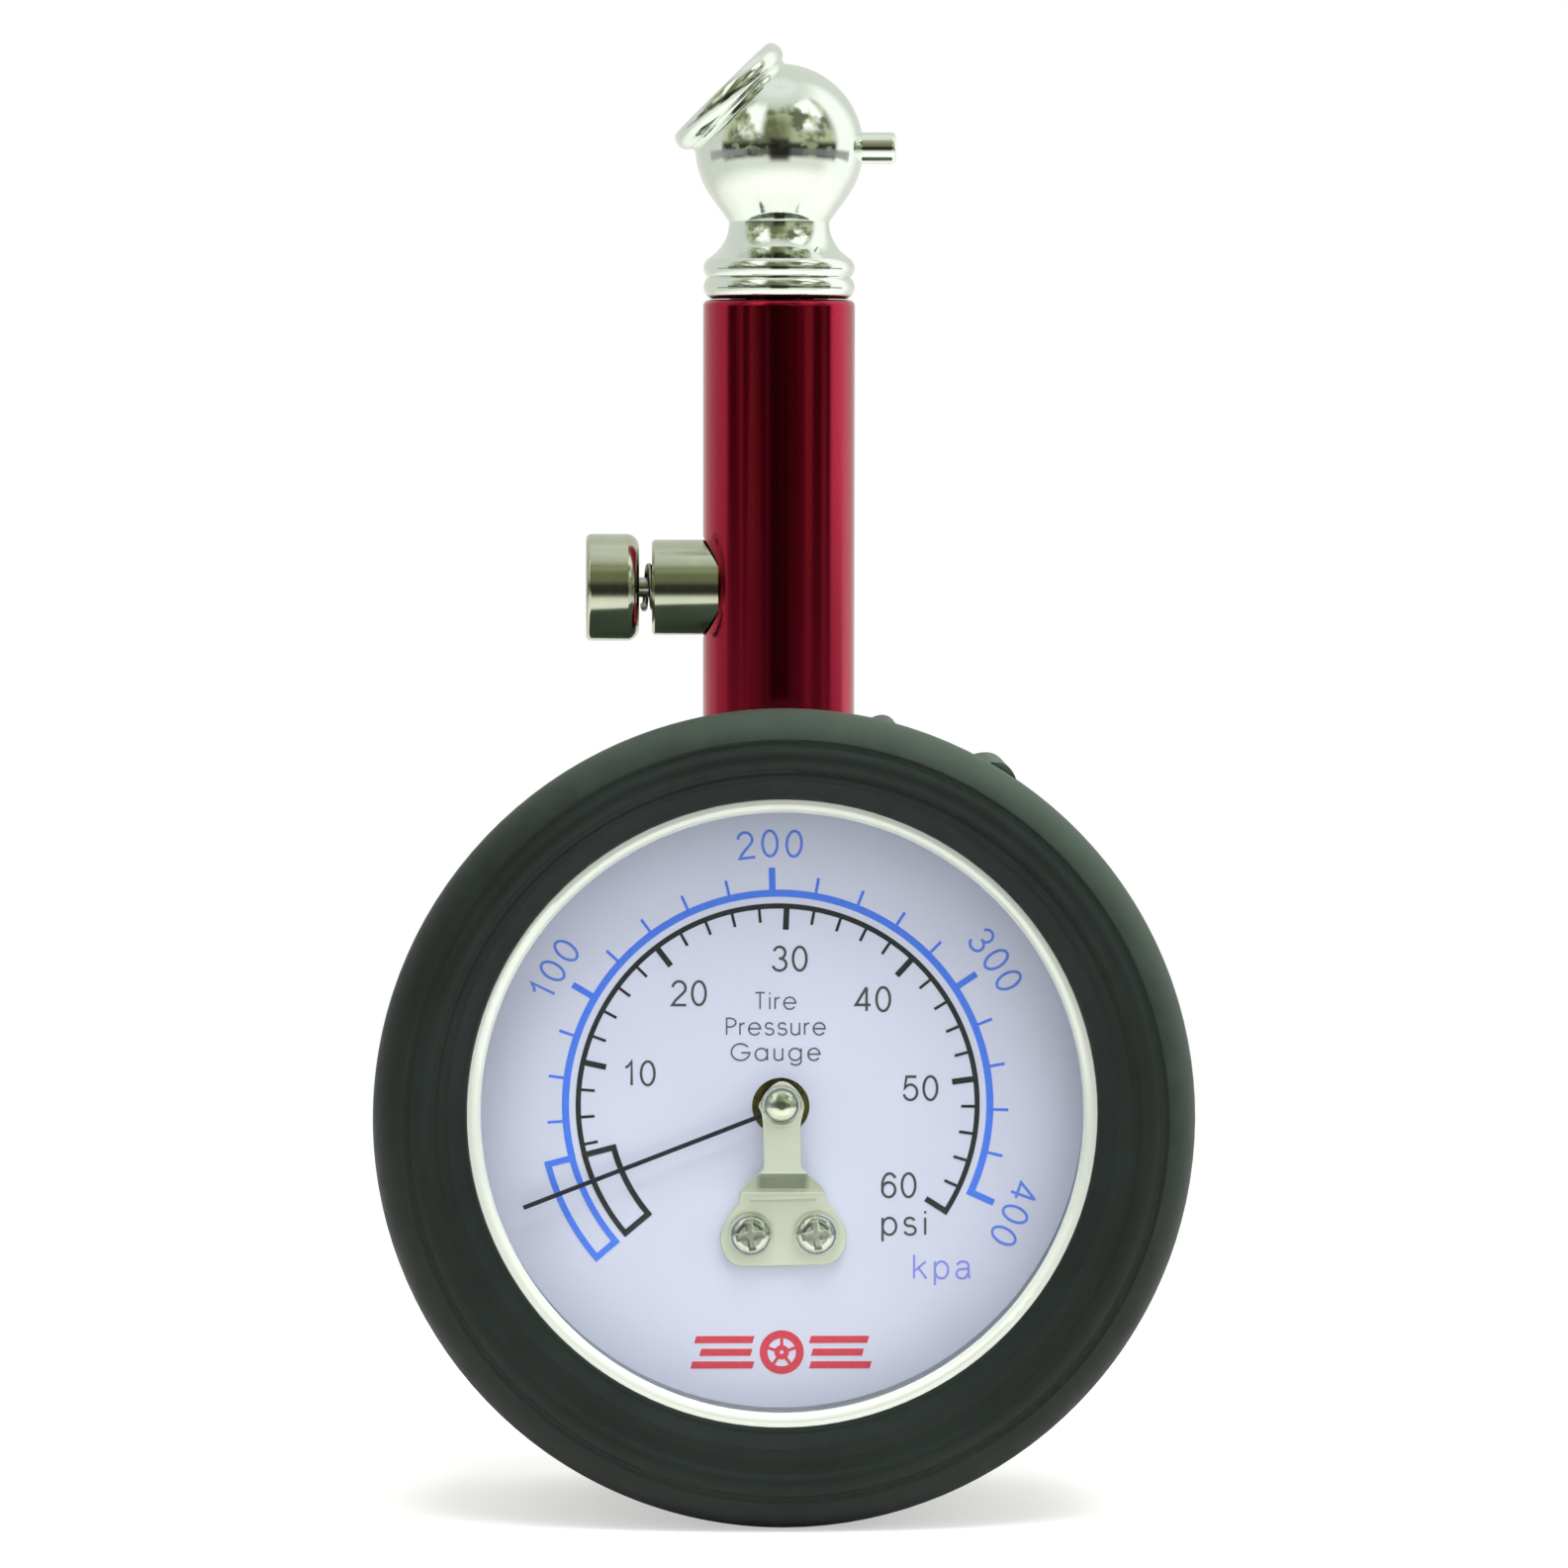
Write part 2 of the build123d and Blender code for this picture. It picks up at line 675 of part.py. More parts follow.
def sector_gear():
    """Toothed sector with a windowed web, a hub and a tail for the link."""
    hole_r = SECTOR_ARBOR_R + 0.01
    flank = tooth_flank(
        SECTOR_PITCH_R,
        tip_r=SECTOR_PITCH_R + 0.72 * MODULE,
        root_r=SECTOR_PITCH_R - 1.15 * MODULE,
        thickness=0.43 * pi * MODULE,
    )
    mesh_angle = SECTOR_DIR + 180.0
    tooth_angles = [mesh_angle - SECTOR_STEP * k for k in range(9, -3, -1)]
    start = radians(tooth_angles[0] - SECTOR_STEP / 2)
    end = radians(tooth_angles[-1] + SECTOR_STEP / 2)
    rim_r = 12.2
    web_r, web_spread = 1.1, 0.9    # web's corners by the hub, angle in radians
    window_in, window_out, window_margin = 4.2, 10.2, 0.17
    window_start, window_end = start + window_margin, end - window_margin
    window_mid = (window_start + window_end) / 2

    def at(radius, angle):
        return polar(radius, angle, SECTOR_PIVOT)

    with BuildPart() as sector:
        with BuildSketch(front_plane(-19.2)):
            with BuildLine():
                outline(
                    at(rim_r, start),
                    *gear_points(SECTOR_PIVOT, tooth_angles, flank),
                    at(rim_r, end),
                    at(web_r, end + web_spread),
                    at(web_r, start - web_spread),
                )
            make_face()
            # window in the web
            with BuildLine():
                outline(
                    at(window_in, window_start),
                    at(window_out, window_start),
                    (at(window_out, window_mid), at(window_out, window_end)),
                    at(window_in, window_end),
                    (at(window_in, window_mid), at(window_in, window_start)),
                )
            make_face(mode=Mode.SUBTRACT)
            # hub and tail
            with Locations(SECTOR_PIVOT):
                Circle(1.7)
            with Locations(middle(SECTOR_PIVOT, TAIL_END)):
                SlotOverall(TAIL_L + 2.0, 2.0, rotation=TAIL_ANGLE)
            with Locations(SECTOR_PIVOT):
                Circle(hole_r, mode=Mode.SUBTRACT)
            with Locations(TAIL_END):
                Circle(LINK_PIN_R + 0.01, mode=Mode.SUBTRACT)
        extrude(amount=0.9)
        # boss behind the hub
        with BuildSketch(front_plane(-18.8)):
            with Locations(SECTOR_PIVOT):
                Circle(1.4)
                Circle(hole_r, mode=Mode.SUBTRACT)
        extrude(amount=0.4)
    return sector.part


def sector_arbor():
    back, front = REAR_PLATE_BACK - 0.05, FRONT_PLATE_FACE + 0.05
    return disc(back, SECTOR_ARBOR_R, back - front, SECTOR_PIVOT)


def link_pin():
    return disc(-18.35, LINK_PIN_R, 1.7, TAIL_END)


def link_bar():
    """Bar with an eye at each end, from the Bourdon tube's tip to the sector's tail."""
    dx, dz = TIP_PIN[0] - TAIL_END[0], TIP_PIN[1] - TAIL_END[1]
    with BuildPart() as link:
        with BuildSketch(front_plane(-18.55)):
            with Locations(middle(TIP_PIN, TAIL_END)):
                SlotOverall(hypot(dx, dz) + 1.5, 1.5, rotation=degrees(atan2(dz, dx)))
            with Locations(TIP_PIN):
                Circle(1.15)
                Circle(0.62, mode=Mode.SUBTRACT)    # room for the pin to shift
            with Locations(TAIL_END):
                Circle(0.95)
                Circle(LINK_PIN_R + 0.04, mode=Mode.SUBTRACT)
        extrude(amount=0.4)
    return link.part


# ---------------------------------------------------------------------------
# Hairspring and pointer
# ---------------------------------------------------------------------------
def hairspring_collet():
    with BuildPart() as collet:
        with BuildSketch(front_plane(-17.2)):
            Circle(1.25)
            Circle(0.86, mode=Mode.SUBTRACT)
        extrude(amount=1.0)
    return collet.part


def hairspring():
    """Flat spiral from the arbor's collet to a stud on the rear plate."""
    turns, points_per_turn = 4, 16
    start_r, end_r, thickness = 1.33, 5.2, 0.12
    start_angle = radians(-50.0)
    steps = turns * points_per_turn
    inner, outer = [], []
    for k in range(steps + 1):
        angle = start_angle + 2 * pi * turns * k / steps
        radius = start_r + (end_r - start_r) * k / steps
        inner.append(polar(radius, angle))
        outer.append(polar(radius + thickness, angle))
    with BuildPart() as spring:
        with BuildSketch(front_plane(-17.25)):
            with BuildLine():
                Spline(*inner)
                Line(inner[-1], outer[-1])
                Spline(*reversed(outer))
                Line(outer[0], inner[0])
            make_face()
        extrude(amount=0.9)
        # stud at the outer end
        with BuildSketch(front_plane(REAR_PLATE_FACE - GAP)):
            with Locations(polar(end_r + 0.45, start_angle)):
                Circle(0.5)
        extrude(amount=1.6)
    return spring.part


def pointer():
    """Slim straight needle on a hub."""
    bore_r, hub_front, hub_back = 0.56, -24.55, -23.35
    with BuildPart() as needle:
        with BuildSketch(front_plane(-24.05)):
            with Locations(polar(POINTER_L / 2, radians(REST_ANGLE))):
                Rectangle(POINTER_L, 0.34, rotation=REST_ANGLE)
        extrude(amount=0.26)
        with BuildSketch(DIAL_SECTION):
            with BuildLine():
                outline(
                    (bore_r, hub_front),
                    (1.2, hub_front),
                    (1.45, -24.3),
                    (1.45, hub_back),
                    (bore_r, hub_back),
                )
            make_face()
        revolve(axis=Axis.Y)
        # clear the needle out of the hub's bore
        with BuildSketch(front_plane(DIAL_FACE)):
            Circle(bore_r)
        extrude(amount=2.0, mode=Mode.SUBTRACT)
    return needle.part


# ---------------------------------------------------------------------------
# Stem tube
# ---------------------------------------------------------------------------
def stem_tube():
    edge_mid = 0.147            # the rounded edge's middle, in from the sharp corner
    with BuildPart() as tube:
        with BuildSketch(STEM_SECTION):
            with BuildLine():
                outline(
                    (TUBE_R, TUBE_BOTTOM),
                    (TUBE_R, TUBE_TOP - TUBE_EDGE),
                    ((TUBE_R - edge_mid, TUBE_TOP - edge_mid), (TUBE_R - TUBE_EDGE, TUBE_TOP)),
                    (POCKET_R, TUBE_TOP),
                    (POCKET_R, CHUCK_POCKET),
                    (2.7, CHUCK_POCKET),
                    (2.7, WEB_TOP),
                    (1.7, WEB_TOP),
                    (1.7, WEB_BOTTOM),
                    (TUBE_BORE_R, WEB_BOTTOM),
                    (TUBE_BORE_R, SOCKET_POCKET),
                    (POCKET_R, SOCKET_POCKET),
                    (POCKET_R, TUBE_BOTTOM),
                )
            make_face()
        revolve(axis=STEM_AXIS)
        # side port: spot face and hole for the bleeder's body
        with BuildSketch(side_plane(BOSS_IN, BLEED_Z, -1)):
            Circle(BOSS_R + 0.25)
        extrude(amount=3.0, mode=Mode.SUBTRACT)
        with BuildSketch(side_plane(-0.6, BLEED_Z, -1)):
            Circle(2.5)
        extrude(amount=6.0, mode=Mode.SUBTRACT)
    return tube.part


# ---------------------------------------------------------------------------
# Bleeder valve, on the stem's left
# ---------------------------------------------------------------------------
BODY_END = -2.75                # body's inner end
SPRING_SEAT = -7.5
SPRING_BORE_R = 2.15
BLEED_STEM_R = 0.8
BLEED_HEAD = -2.24              # outer face of the bleeder stem's head


def bleeder_body():
    return turned(
        BLEED_SECTION,
        BLEED_AXIS,
        (BOSS_OUT, SPRING_BORE_R),
        (BOSS_OUT, BOSS_R - 0.2),
        (BOSS_OUT + 0.2, BOSS_R),
        (BOSS_IN, BOSS_R),
        (BOSS_IN, 2.45),
        (BODY_END, 2.45),
        (BODY_END, 1.15),
        (SPRING_SEAT, 1.15),
        (SPRING_SEAT, SPRING_BORE_R),
    )


def bleeder_knob():
    bore_r = BLEED_STEM_R + GAP
    return turned(
        BLEED_SECTION,
        BLEED_AXIS,
        (KNOB_BORE_END, 0),
        (KNOB_OUT, 0),
        (KNOB_OUT, KNOB_R - 0.4),
        ((KNOB_OUT + 0.117, KNOB_R - 0.117), (KNOB_OUT + 0.4, KNOB_R)),
        (KNOB_IN - 0.85, KNOB_R),
        ((KNOB_IN - 0.27, KNOB_R - 0.33), (KNOB_IN, KNOB_R - 0.95)),
        (KNOB_IN, bore_r),
        (KNOB_BORE_END, bore_r),
    )


def bleeder_stem():
    outer_end, inner_end, head_r = KNOB_BORE_END + 0.05, -1.2, 1.6
    return turned(
        BLEED_SECTION,
        BLEED_AXIS,
        (outer_end, 0),
        (outer_end, BLEED_STEM_R),
        (BLEED_HEAD, BLEED_STEM_R),
        (BLEED_HEAD, head_r),
        (-1.5, head_r),
        (inner_end, 1.3),
        (inner_end, 0),
    )


def bleeder_seal():
    """Washer between the body and the stem's head."""
    start, end = BODY_END + 0.03, BLEED_HEAD - GAP
    inner_r, outer_r = BLEED_STEM_R + GAP, 1.7
    return turned(
        BLEED_SECTION, BLEED_AXIS,
        (start, inner_r), (start, outer_r), (end, outer_r), (end, inner_r),
    )


def bleeder_spring():
    return coil(
        base=(SPRING_SEAT - 0.2, STEM_Y, BLEED_Z), direction=(-1, 0, 0),
        radius=1.68, wire_r=0.24, length=3.5, turns=4.1,
    )


# ---------------------------------------------------------------------------
# Check valve in the stem, below the chuck
# ---------------------------------------------------------------------------
POPPET_BOTTOM, POPPET_HEAD, POPPET_TOP = 49.6, 51.4, 53.4


def check_poppet():
    flat_distance = 3.6         # centres of the cutting blocks from the axis
    with BuildPart() as poppet:
        with BuildSketch(STEM_SECTION):
            with BuildLine():
                outline(
                    (0, POPPET_BOTTOM),
                    (0.9, POPPET_BOTTOM),
                    (0.9, POPPET_HEAD),
                    (2.6, POPPET_HEAD),
                    (2.6, POPPET_TOP),
                    (0, POPPET_TOP),
                )
            make_face()
        revolve(axis=STEM_AXIS)
        # flats that let the air pass
        with BuildSketch(Plane.XY.offset(POPPET_HEAD)):
            for angle in (90, 210, 330):
                with Locations(polar(flat_distance, radians(angle), (0, STEM_Y))):
                    Rectangle(3.2, 4.0, rotation=angle)
        extrude(amount=POPPET_TOP - POPPET_HEAD, mode=Mode.SUBTRACT)
    return poppet.part


def check_seal():
    with BuildPart() as seal:
        with BuildSketch(Plane.XY.offset(POPPET_TOP + GAP)):
            with Locations((0, STEM_Y)):
                Circle(1.95)
        extrude(amount=0.8)
    return seal.part


def check_spring():
    return coil(
        base=(0, STEM_Y, WEB_TOP + 0.22), direction=(0, 0, 1),
        radius=1.95, wire_r=0.18, length=3.6, turns=4.2,
    )


# ---------------------------------------------------------------------------
# Chuck
# ---------------------------------------------------------------------------
DEPRESSOR_BACK = -0.82


def chuck_body():
    """Ball head on a beaded collar, with a rimmed mouth set at an angle."""
    nipple_end = CHUCK_POCKET + 0.1
    collar_bottom = TUBE_TOP + 0.06
    collar_top, neck = (5.66, 66.2), (NECK_R, NECK_Z)
    # the neck's line touches the ball at this angle
    neck_dz = NECK_Z - BALL_Z
    touch_angle = atan2(neck_dz, NECK_R) + acos(BALL_R / hypot(NECK_R, neck_dz))
    ball_mid_angle = touch_angle / 2 + pi / 4
    depressor_seat = DEPRESSOR_BACK - 0.03
    groove_back, groove_front = SEAL_BACK - GAP, SEAL_FRONT + GAP
    with BuildPart() as chuck:
        with BuildSketch(STEM_SECTION):
            with BuildLine():
                outline(
                    (0, nipple_end),
                    (NIPPLE_R, nipple_end),
                    (NIPPLE_R, collar_bottom),
                    (5.35, collar_bottom),
                    ((BEAD_R, 63.98), (5.62, 64.78)),
                    ((BEAD_R, 65.5), collar_top),
                    closed=False,
                )
                Spline(
                    collar_top, (4.68, 67.05), (4.12, 68.05), neck,
                    tangents=((-0.75, 0.5), (0, 1)),
                )
                outline(
                    neck,
                    polar(BALL_R, touch_angle, (0, BALL_Z)),
                    (polar(BALL_R, ball_mid_angle, (0, BALL_Z)), (0, BALL_Z + BALL_R)),
                    (0, nipple_end),
                    closed=False,
                )
            make_face()
        revolve(axis=STEM_AXIS)
        # the mouth's neck and rolled rim
        with BuildSketch(MOUTH_SECTION):
            with BuildLine():
                outline(
                    (0, 0),
                    (MOUTH_NECK_R, 0),
                    (MOUTH_NECK_R, RIM_START - 0.35),
                    ((5.0, RIM_START - 0.1), (5.2, RIM_START + 0.05)),
                    ((RIM_R, RIM_START + 0.78), (5.2, RIM_END - 0.06)),
                    (MOUTH_NECK_R, RIM_END),
                    (0, RIM_END),
                )
            make_face()
        revolve(axis=MOUTH_AXIS)
        # air way, depressor seat, seal groove and mouth bore
        with BuildSketch(MOUTH_SECTION):
            with BuildLine():
                outline(
                    (0, -2.6),
                    (CHUCK_AIRWAY_R, -2.6),
                    (CHUCK_AIRWAY_R, depressor_seat),
                    (3.1, depressor_seat),
                    (3.1, groove_back),
                    (SEAL_R, groove_back),
                    (SEAL_R, groove_front),
                    (MOUTH_R, groove_front),
                    (MOUTH_R, RIM_END - MOUTH_CHAMFER),
                    (MOUTH_R + MOUTH_CHAMFER, RIM_END),
                    (MOUTH_R + MOUTH_CHAMFER, 9.0),
                    (0, 9.0),
                )
            make_face()
        revolve(axis=MOUTH_AXIS, mode=Mode.SUBTRACT)
        # air way up the nipple
        with BuildSketch(Plane.XY.offset(CHUCK_POCKET)):
            with Locations((0, STEM_Y)):
                Circle(CHUCK_AIRWAY_R)
        extrude(amount=BALL_Z - CHUCK_POCKET, mode=Mode.SUBTRACT)
        # hole for the deflator pin
        with BuildSketch(side_plane(4.1, BALL_Z, 1)):
            Circle(DEFLATOR_R + 0.01)
        extrude(amount=5.0, mode=Mode.SUBTRACT)
        # O-ring groove in the nipple
        with BuildSketch(STEM_SECTION):
            with BuildLine():
                outline((2.95, 60.4), (4.3, 60.4), (4.3, 61.5), (2.95, 61.5))
            make_face()
        revolve(axis=STEM_AXIS, mode=Mode.SUBTRACT)
    return chuck.part


def nipple_o_ring():
    with BuildPart() as ring:
        with BuildSketch(STEM_SECTION):
            with Locations((3.47, 60.95)):
                Circle(0.49)
        revolve(axis=STEM_AXIS)
    return ring.part


def chuck_seal():
    inner_r, outer_r = 2.2, SEAL_R - GAP
    return turned(
        MOUTH_SECTION,
        MOUTH_AXIS,
        (inner_r, SEAL_BACK),
        (outer_r, SEAL_BACK),
        (outer_r, SEAL_FRONT),
        (inner_r + 0.3, SEAL_FRONT),
        (inner_r, SEAL_FRONT - 0.3),
    )


def core_depressor():
    """Pin on a flange with three air holes."""
    flange_r, flange_front = 3.05, -0.25
    pin_r, pin_tip = 0.9, 1.72
    with BuildPart() as depressor:
        with BuildSketch(MOUTH_SECTION):
            with BuildLine():
                outline(
                    (0, DEPRESSOR_BACK),
                    (flange_r, DEPRESSOR_BACK),
                    (flange_r, flange_front),
                    (pin_r, flange_front),
                    (pin_r, 1.5),
                    (0.7, pin_tip),
                    (0, pin_tip),
                )
            make_face()
        revolve(axis=MOUTH_AXIS)
        across_mouth = Plane(origin=BALL_CENTRE, x_dir=(0, 1, 0), z_dir=MOUTH_DIR)
        with BuildSketch(across_mouth.offset(-1.0)):
            with PolarLocations(1.6, 3):
                Circle(0.5)
        extrude(amount=1.2, mode=Mode.SUBTRACT)
    return depressor.part


def deflator_pin():
    start = 4.15
    return turned(
        DEFLATOR_SECTION,
        Axis(BALL_CENTRE, (1, 0, 0)),
        (start, 0),
        (start, DEFLATOR_R),
        (DEFLATOR_END - 0.35, DEFLATOR_R),
        ((DEFLATOR_END - 0.1, DEFLATOR_R - 0.1), (DEFLATOR_END, DEFLATOR_R - 0.35)),
        (DEFLATOR_END, 0),
    )


# Each piece's file takes its function's name
PIECES = [
    rubber_boot, case_cup, bezel_ring, lens_gasket, lens, dial_retainer, dial_plate,
    bridge, bridge_screws,
    movement_front_plate, plate_screws, movement_rear_plate, plate_pillars,
    stem_socket, bourdon_tube, tube_end_cap, tip_pin,
    pinion_arbor, sector_gear, sector_arbor, link_pin, link_bar,
    hairspring_collet, hairspring, pointer,
    stem_tube, bleeder_body, bleeder_knob, bleeder_stem, bleeder_seal, bleeder_spring,
    check_poppet, check_seal, check_spring,
    chuck_body, nipple_o_ring, chuck_seal, core_depressor, deflator_pin,
]

for build_piece in PIECES:
    name = build_piece.__name__
    part = build_piece()
    part.label = name
    export_step(part, "parts/" + name + ".step")
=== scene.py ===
import bpy, bmesh, math, random
from mathutils import Matrix, Vector

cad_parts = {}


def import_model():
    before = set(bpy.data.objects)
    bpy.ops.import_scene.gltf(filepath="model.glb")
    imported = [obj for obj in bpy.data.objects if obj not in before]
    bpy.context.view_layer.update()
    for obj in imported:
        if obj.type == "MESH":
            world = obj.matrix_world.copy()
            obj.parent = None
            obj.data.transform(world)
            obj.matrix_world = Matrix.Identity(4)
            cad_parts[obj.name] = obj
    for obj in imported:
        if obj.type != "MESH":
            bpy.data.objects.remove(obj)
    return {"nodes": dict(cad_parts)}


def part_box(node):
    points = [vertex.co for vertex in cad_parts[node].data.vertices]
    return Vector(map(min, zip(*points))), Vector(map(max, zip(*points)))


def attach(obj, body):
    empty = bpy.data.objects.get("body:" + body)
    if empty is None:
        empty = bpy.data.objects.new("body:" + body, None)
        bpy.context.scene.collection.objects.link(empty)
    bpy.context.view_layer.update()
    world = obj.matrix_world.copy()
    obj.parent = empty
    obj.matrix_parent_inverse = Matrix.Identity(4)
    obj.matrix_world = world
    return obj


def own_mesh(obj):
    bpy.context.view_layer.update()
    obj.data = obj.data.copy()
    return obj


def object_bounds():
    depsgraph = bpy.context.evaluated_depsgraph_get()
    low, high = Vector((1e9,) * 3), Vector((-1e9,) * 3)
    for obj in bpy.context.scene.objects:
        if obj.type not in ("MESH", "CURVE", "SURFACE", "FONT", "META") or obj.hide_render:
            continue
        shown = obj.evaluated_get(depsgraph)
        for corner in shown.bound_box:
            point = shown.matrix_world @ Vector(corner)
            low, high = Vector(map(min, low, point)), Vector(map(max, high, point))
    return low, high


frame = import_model()
lo0, hi0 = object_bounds()
nodes = frame["nodes"]
MM = 0.001
rnd = random.Random(7)

# ---------------------------------------------------------------- materials
def lin(r, g, b, a=1.0):
    def f(c):
        c /= 255.0
        return c / 12.92 if c <= 0.04045 else ((c + 0.055) / 1.055) ** 2.4
    return (f(r), f(g), f(b), a)


class Mat:
    """A node material with short ways to add the usual nodes."""
    def __init__(self, name):
        self.m = bpy.data.materials.new(name)
        self.m.use_nodes = True
        self.t = self.m.node_tree
        self.n = self.t.nodes
        self.l = self.t.links
        self.b = self.n["Principled BSDF"]

    def set(self, **kw):
        for k, v in kw.items():
            self.b.inputs[k.replace("_", " ")].default_value = v
        return self

    def node(self, kind, **kw):
        n = self.n.new(kind)
        for k, v in kw.items():
            setattr(n, k, v)
        return n

    def link(self, a, b):
        self.l.new(a, b)

    def coords(self, scale=(1, 1, 1), rot=(0, 0, 0), loc=(0, 0, 0)):
        g = self.node("ShaderNodeNewGeometry")
        tc = self.node("ShaderNodeTexCoord")
        mp = self.node("ShaderNodeMapping")
        mp.inputs["Scale"].default_value = scale
        mp.inputs["Rotation"].default_value = rot
        mp.inputs["Location"].default_value = loc
        self.link(tc.outputs["Object"], mp.inputs["Vector"])
        return mp.outputs["Vector"]

    def noise(self, vec, scale, detail=3.0, rough=0.5, dist=0.0):
        n = self.node("ShaderNodeTexNoise")
        n.inputs["Scale"].default_value = scale
        n.inputs["Detail"].default_value = detail
        n.inputs["Roughness"].default_value = rough
        n.inputs["Distortion"].default_value = dist
        self.link(vec, n.inputs["Vector"])
        return n.outputs["Fac"]

    def ramp(self, fac, stops):
        r = self.node("ShaderNodeValToRGB")
        e = r.color_ramp.elements
        while len(e) < len(stops):
            e.new(0.5)
        for el, (p, c) in zip(e, stops):
            el.position = p
            el.color = c if len(c) == 4 else (*c, 1)
        self.link(fac, r.inputs["Fac"])
        return r.outputs["Color"]

    def range(self, fac, a, b, c, d):
        r = self.node("ShaderNodeMapRange")
        for k, v in zip(("From Min", "From Max", "To Min", "To Max"), (a, b, c, d)):
            r.inputs[k].default_value = v
        self.link(fac, r.inputs["Value"])
        return r.outputs["Result"]

    def math(self, op, a, b=None, clamp=False):
        m = self.node("ShaderNodeMath", operation=op, use_clamp=clamp)
        for i, v in enumerate((a, b)):
            if v is None:
                continue
            if isinstance(v, (int, float)):
                m.inputs[i].default_value = v
            else:
                self.link(v, m.inputs[i])
        return m.outputs[0]

    def mix(self, fac, a, b, mode="MIX"):
        m = self.node("ShaderNodeMix", data_type="RGBA", blend_type=mode)
        for key, v in ((0, fac), (6, a), (7, b)):
            if isinstance(v, (int, float)):
                m.inputs[key].default_value = v
            elif isinstance(v, tuple):
                m.inputs[key].default_value = v
            else:
                self.link(v, m.inputs[key])
        return m.outputs[2]

    def bump(self, height, strength, distance, chain=None):
        b = self.node("ShaderNodeBump")
        b.inputs["Strength"].default_value = strength
        b.inputs["Distance"].default_value = distance
        self.link(height, b.inputs["Height"])
        if chain is not None:
            self.link(chain, b.inputs["Normal"])
        return b.outputs["Normal"]

    def to(self, out, socket):
        self.link(out, self.b.inputs[socket])
        return self


def give(node, mat):
    o = nodes[node]
    o.data.materials.clear()
    o.data.materials.append(mat.m if isinstance(mat, Mat) else mat)


def rubber(name, base, rough, grain=1.0, spec=0.42, painted_top_light=0.0):
    m = Mat(name)
    v = m.coords()
    big = m.noise(v, 90, 3, 0.6)
    fine = m.noise(v, 2600, 2, 0.6)
    mid = m.noise(v, 420, 4, 0.6)
    c = m.ramp(big, [(0.3, tuple(x * 0.82 for x in base)), (0.7, tuple(x * 1.25 for x in base))])
    c = m.mix(m.range(fine, 0.62, 0.8, 0.0, 0.35), c, tuple(x * 2.0 for x in base) + (1,))
    if painted_top_light:
        # painted light: the base colour is lightened outside the boot's crease, strongest where the surface faces up
        # and to the right, and fully on the lugs, broken up by noise
        g = m.node("ShaderNodeNewGeometry")
        sp = m.node("ShaderNodeSeparateXYZ"); m.link(g.outputs["Normal"], sp.inputs[0])
        up = m.math("ADD", m.math("MULTIPLY", sp.outputs["Z"], 0.60), m.math("MULTIPLY", sp.outputs["X"], 0.36))
        f = m.range(m.math("ADD", up, m.math("MULTIPLY", m.math("SUBTRACT", mid, 0.5), 0.35)), 0.02, 0.75, 0.0, painted_top_light)
        rad = m.node("ShaderNodeVectorMath", operation="LENGTH")
        m.link(m.coords(scale=(1, 0, 1), loc=(-0.0002, 0, 0.00055)), rad.inputs[0])
        f = m.math("MULTIPLY", f, m.range(rad.outputs["Value"], 0.0290, 0.0300, 0.0, 1.0))
        f = m.math("MAXIMUM", f, m.range(rad.outputs["Value"], 0.0319, 0.0321, 0.0, 1.0))
        c = m.mix(f, c, (0.052, 0.078, 0.058, 1))
    m.to(c, "Base Color")
    m.to(m.range(mid, 0.3, 0.7, rough - 0.06, rough + 0.08), "Roughness")
    n1 = m.bump(fine, 0.35 * grain, 0.00003)
    n2 = m.bump(mid, 0.25 * grain, 0.00006, n1)
    m.to(n2, "Normal")
    m.set(Specular_IOR_Level=spec)
    return m


def metal(name, base, rough, tint2=None, spots=0.0, wav=0.0, fine=0.25, metallic=1.0, edge=0.0):
    m = Mat(name)
    v = m.coords()
    n = m.noise(v, 240, 4, 0.6)
    s = m.noise(v, 1900, 3, 0.6)
    c2 = tint2 or tuple(x * 0.9 for x in base)
    m.to(m.ramp(n, [(0.35, base), (0.7, c2)]), "Base Color")
    m.to(m.range(s, 0.35, 0.7, rough * (1 - fine), rough * (1 + fine * 2)), "Roughness")
    nn = m.bump(s, 0.06 + spots, 0.000008)
    if wav:
        nn = m.bump(m.noise(v, 160, 2, 0.5), wav, 0.00004, nn)
    if edge:
        # softened edges
        bv = m.node("ShaderNodeBevel", samples=6)
        bv.inputs["Radius"].default_value = edge
        m.link(nn, bv.inputs["Normal"])
        nn = bv.outputs[0]
    m.to(nn, "Normal")
    m.set(Metallic=metallic)
    return m


def turned(name, base, rough, axis, strength=0.3, aniso=0.35):
    """Metal with fine lathe lines round the given axis: the pattern changes only along it."""
    m = Mat(name)
    sc = {"x": (1, 0.0, 0.0), "y": (0.0, 1, 0.0), "z": (0.0, 0.0, 1)}[axis]
    v = m.coords(scale=sc)
    lines = m.noise(v, 5200, 4, 0.7)
    wide = m.noise(v, 900, 3, 0.6)
    vv = m.coords()
    blot = m.noise(vv, 320, 4, 0.6)
    m.to(m.ramp(blot, [(0.3, base), (0.75, tuple(x * 0.84 for x in base))]), "Base Color")
    m.to(m.range(lines, 0.3, 0.7, rough * 0.75, rough * 1.5), "Roughness")
    n1 = m.bump(lines, strength, 0.00001)
    n2 = m.bump(wide, strength * 0.5, 0.00002, n1)
    m.to(n2, "Normal")
    m.set(Metallic=1.0)
    return m
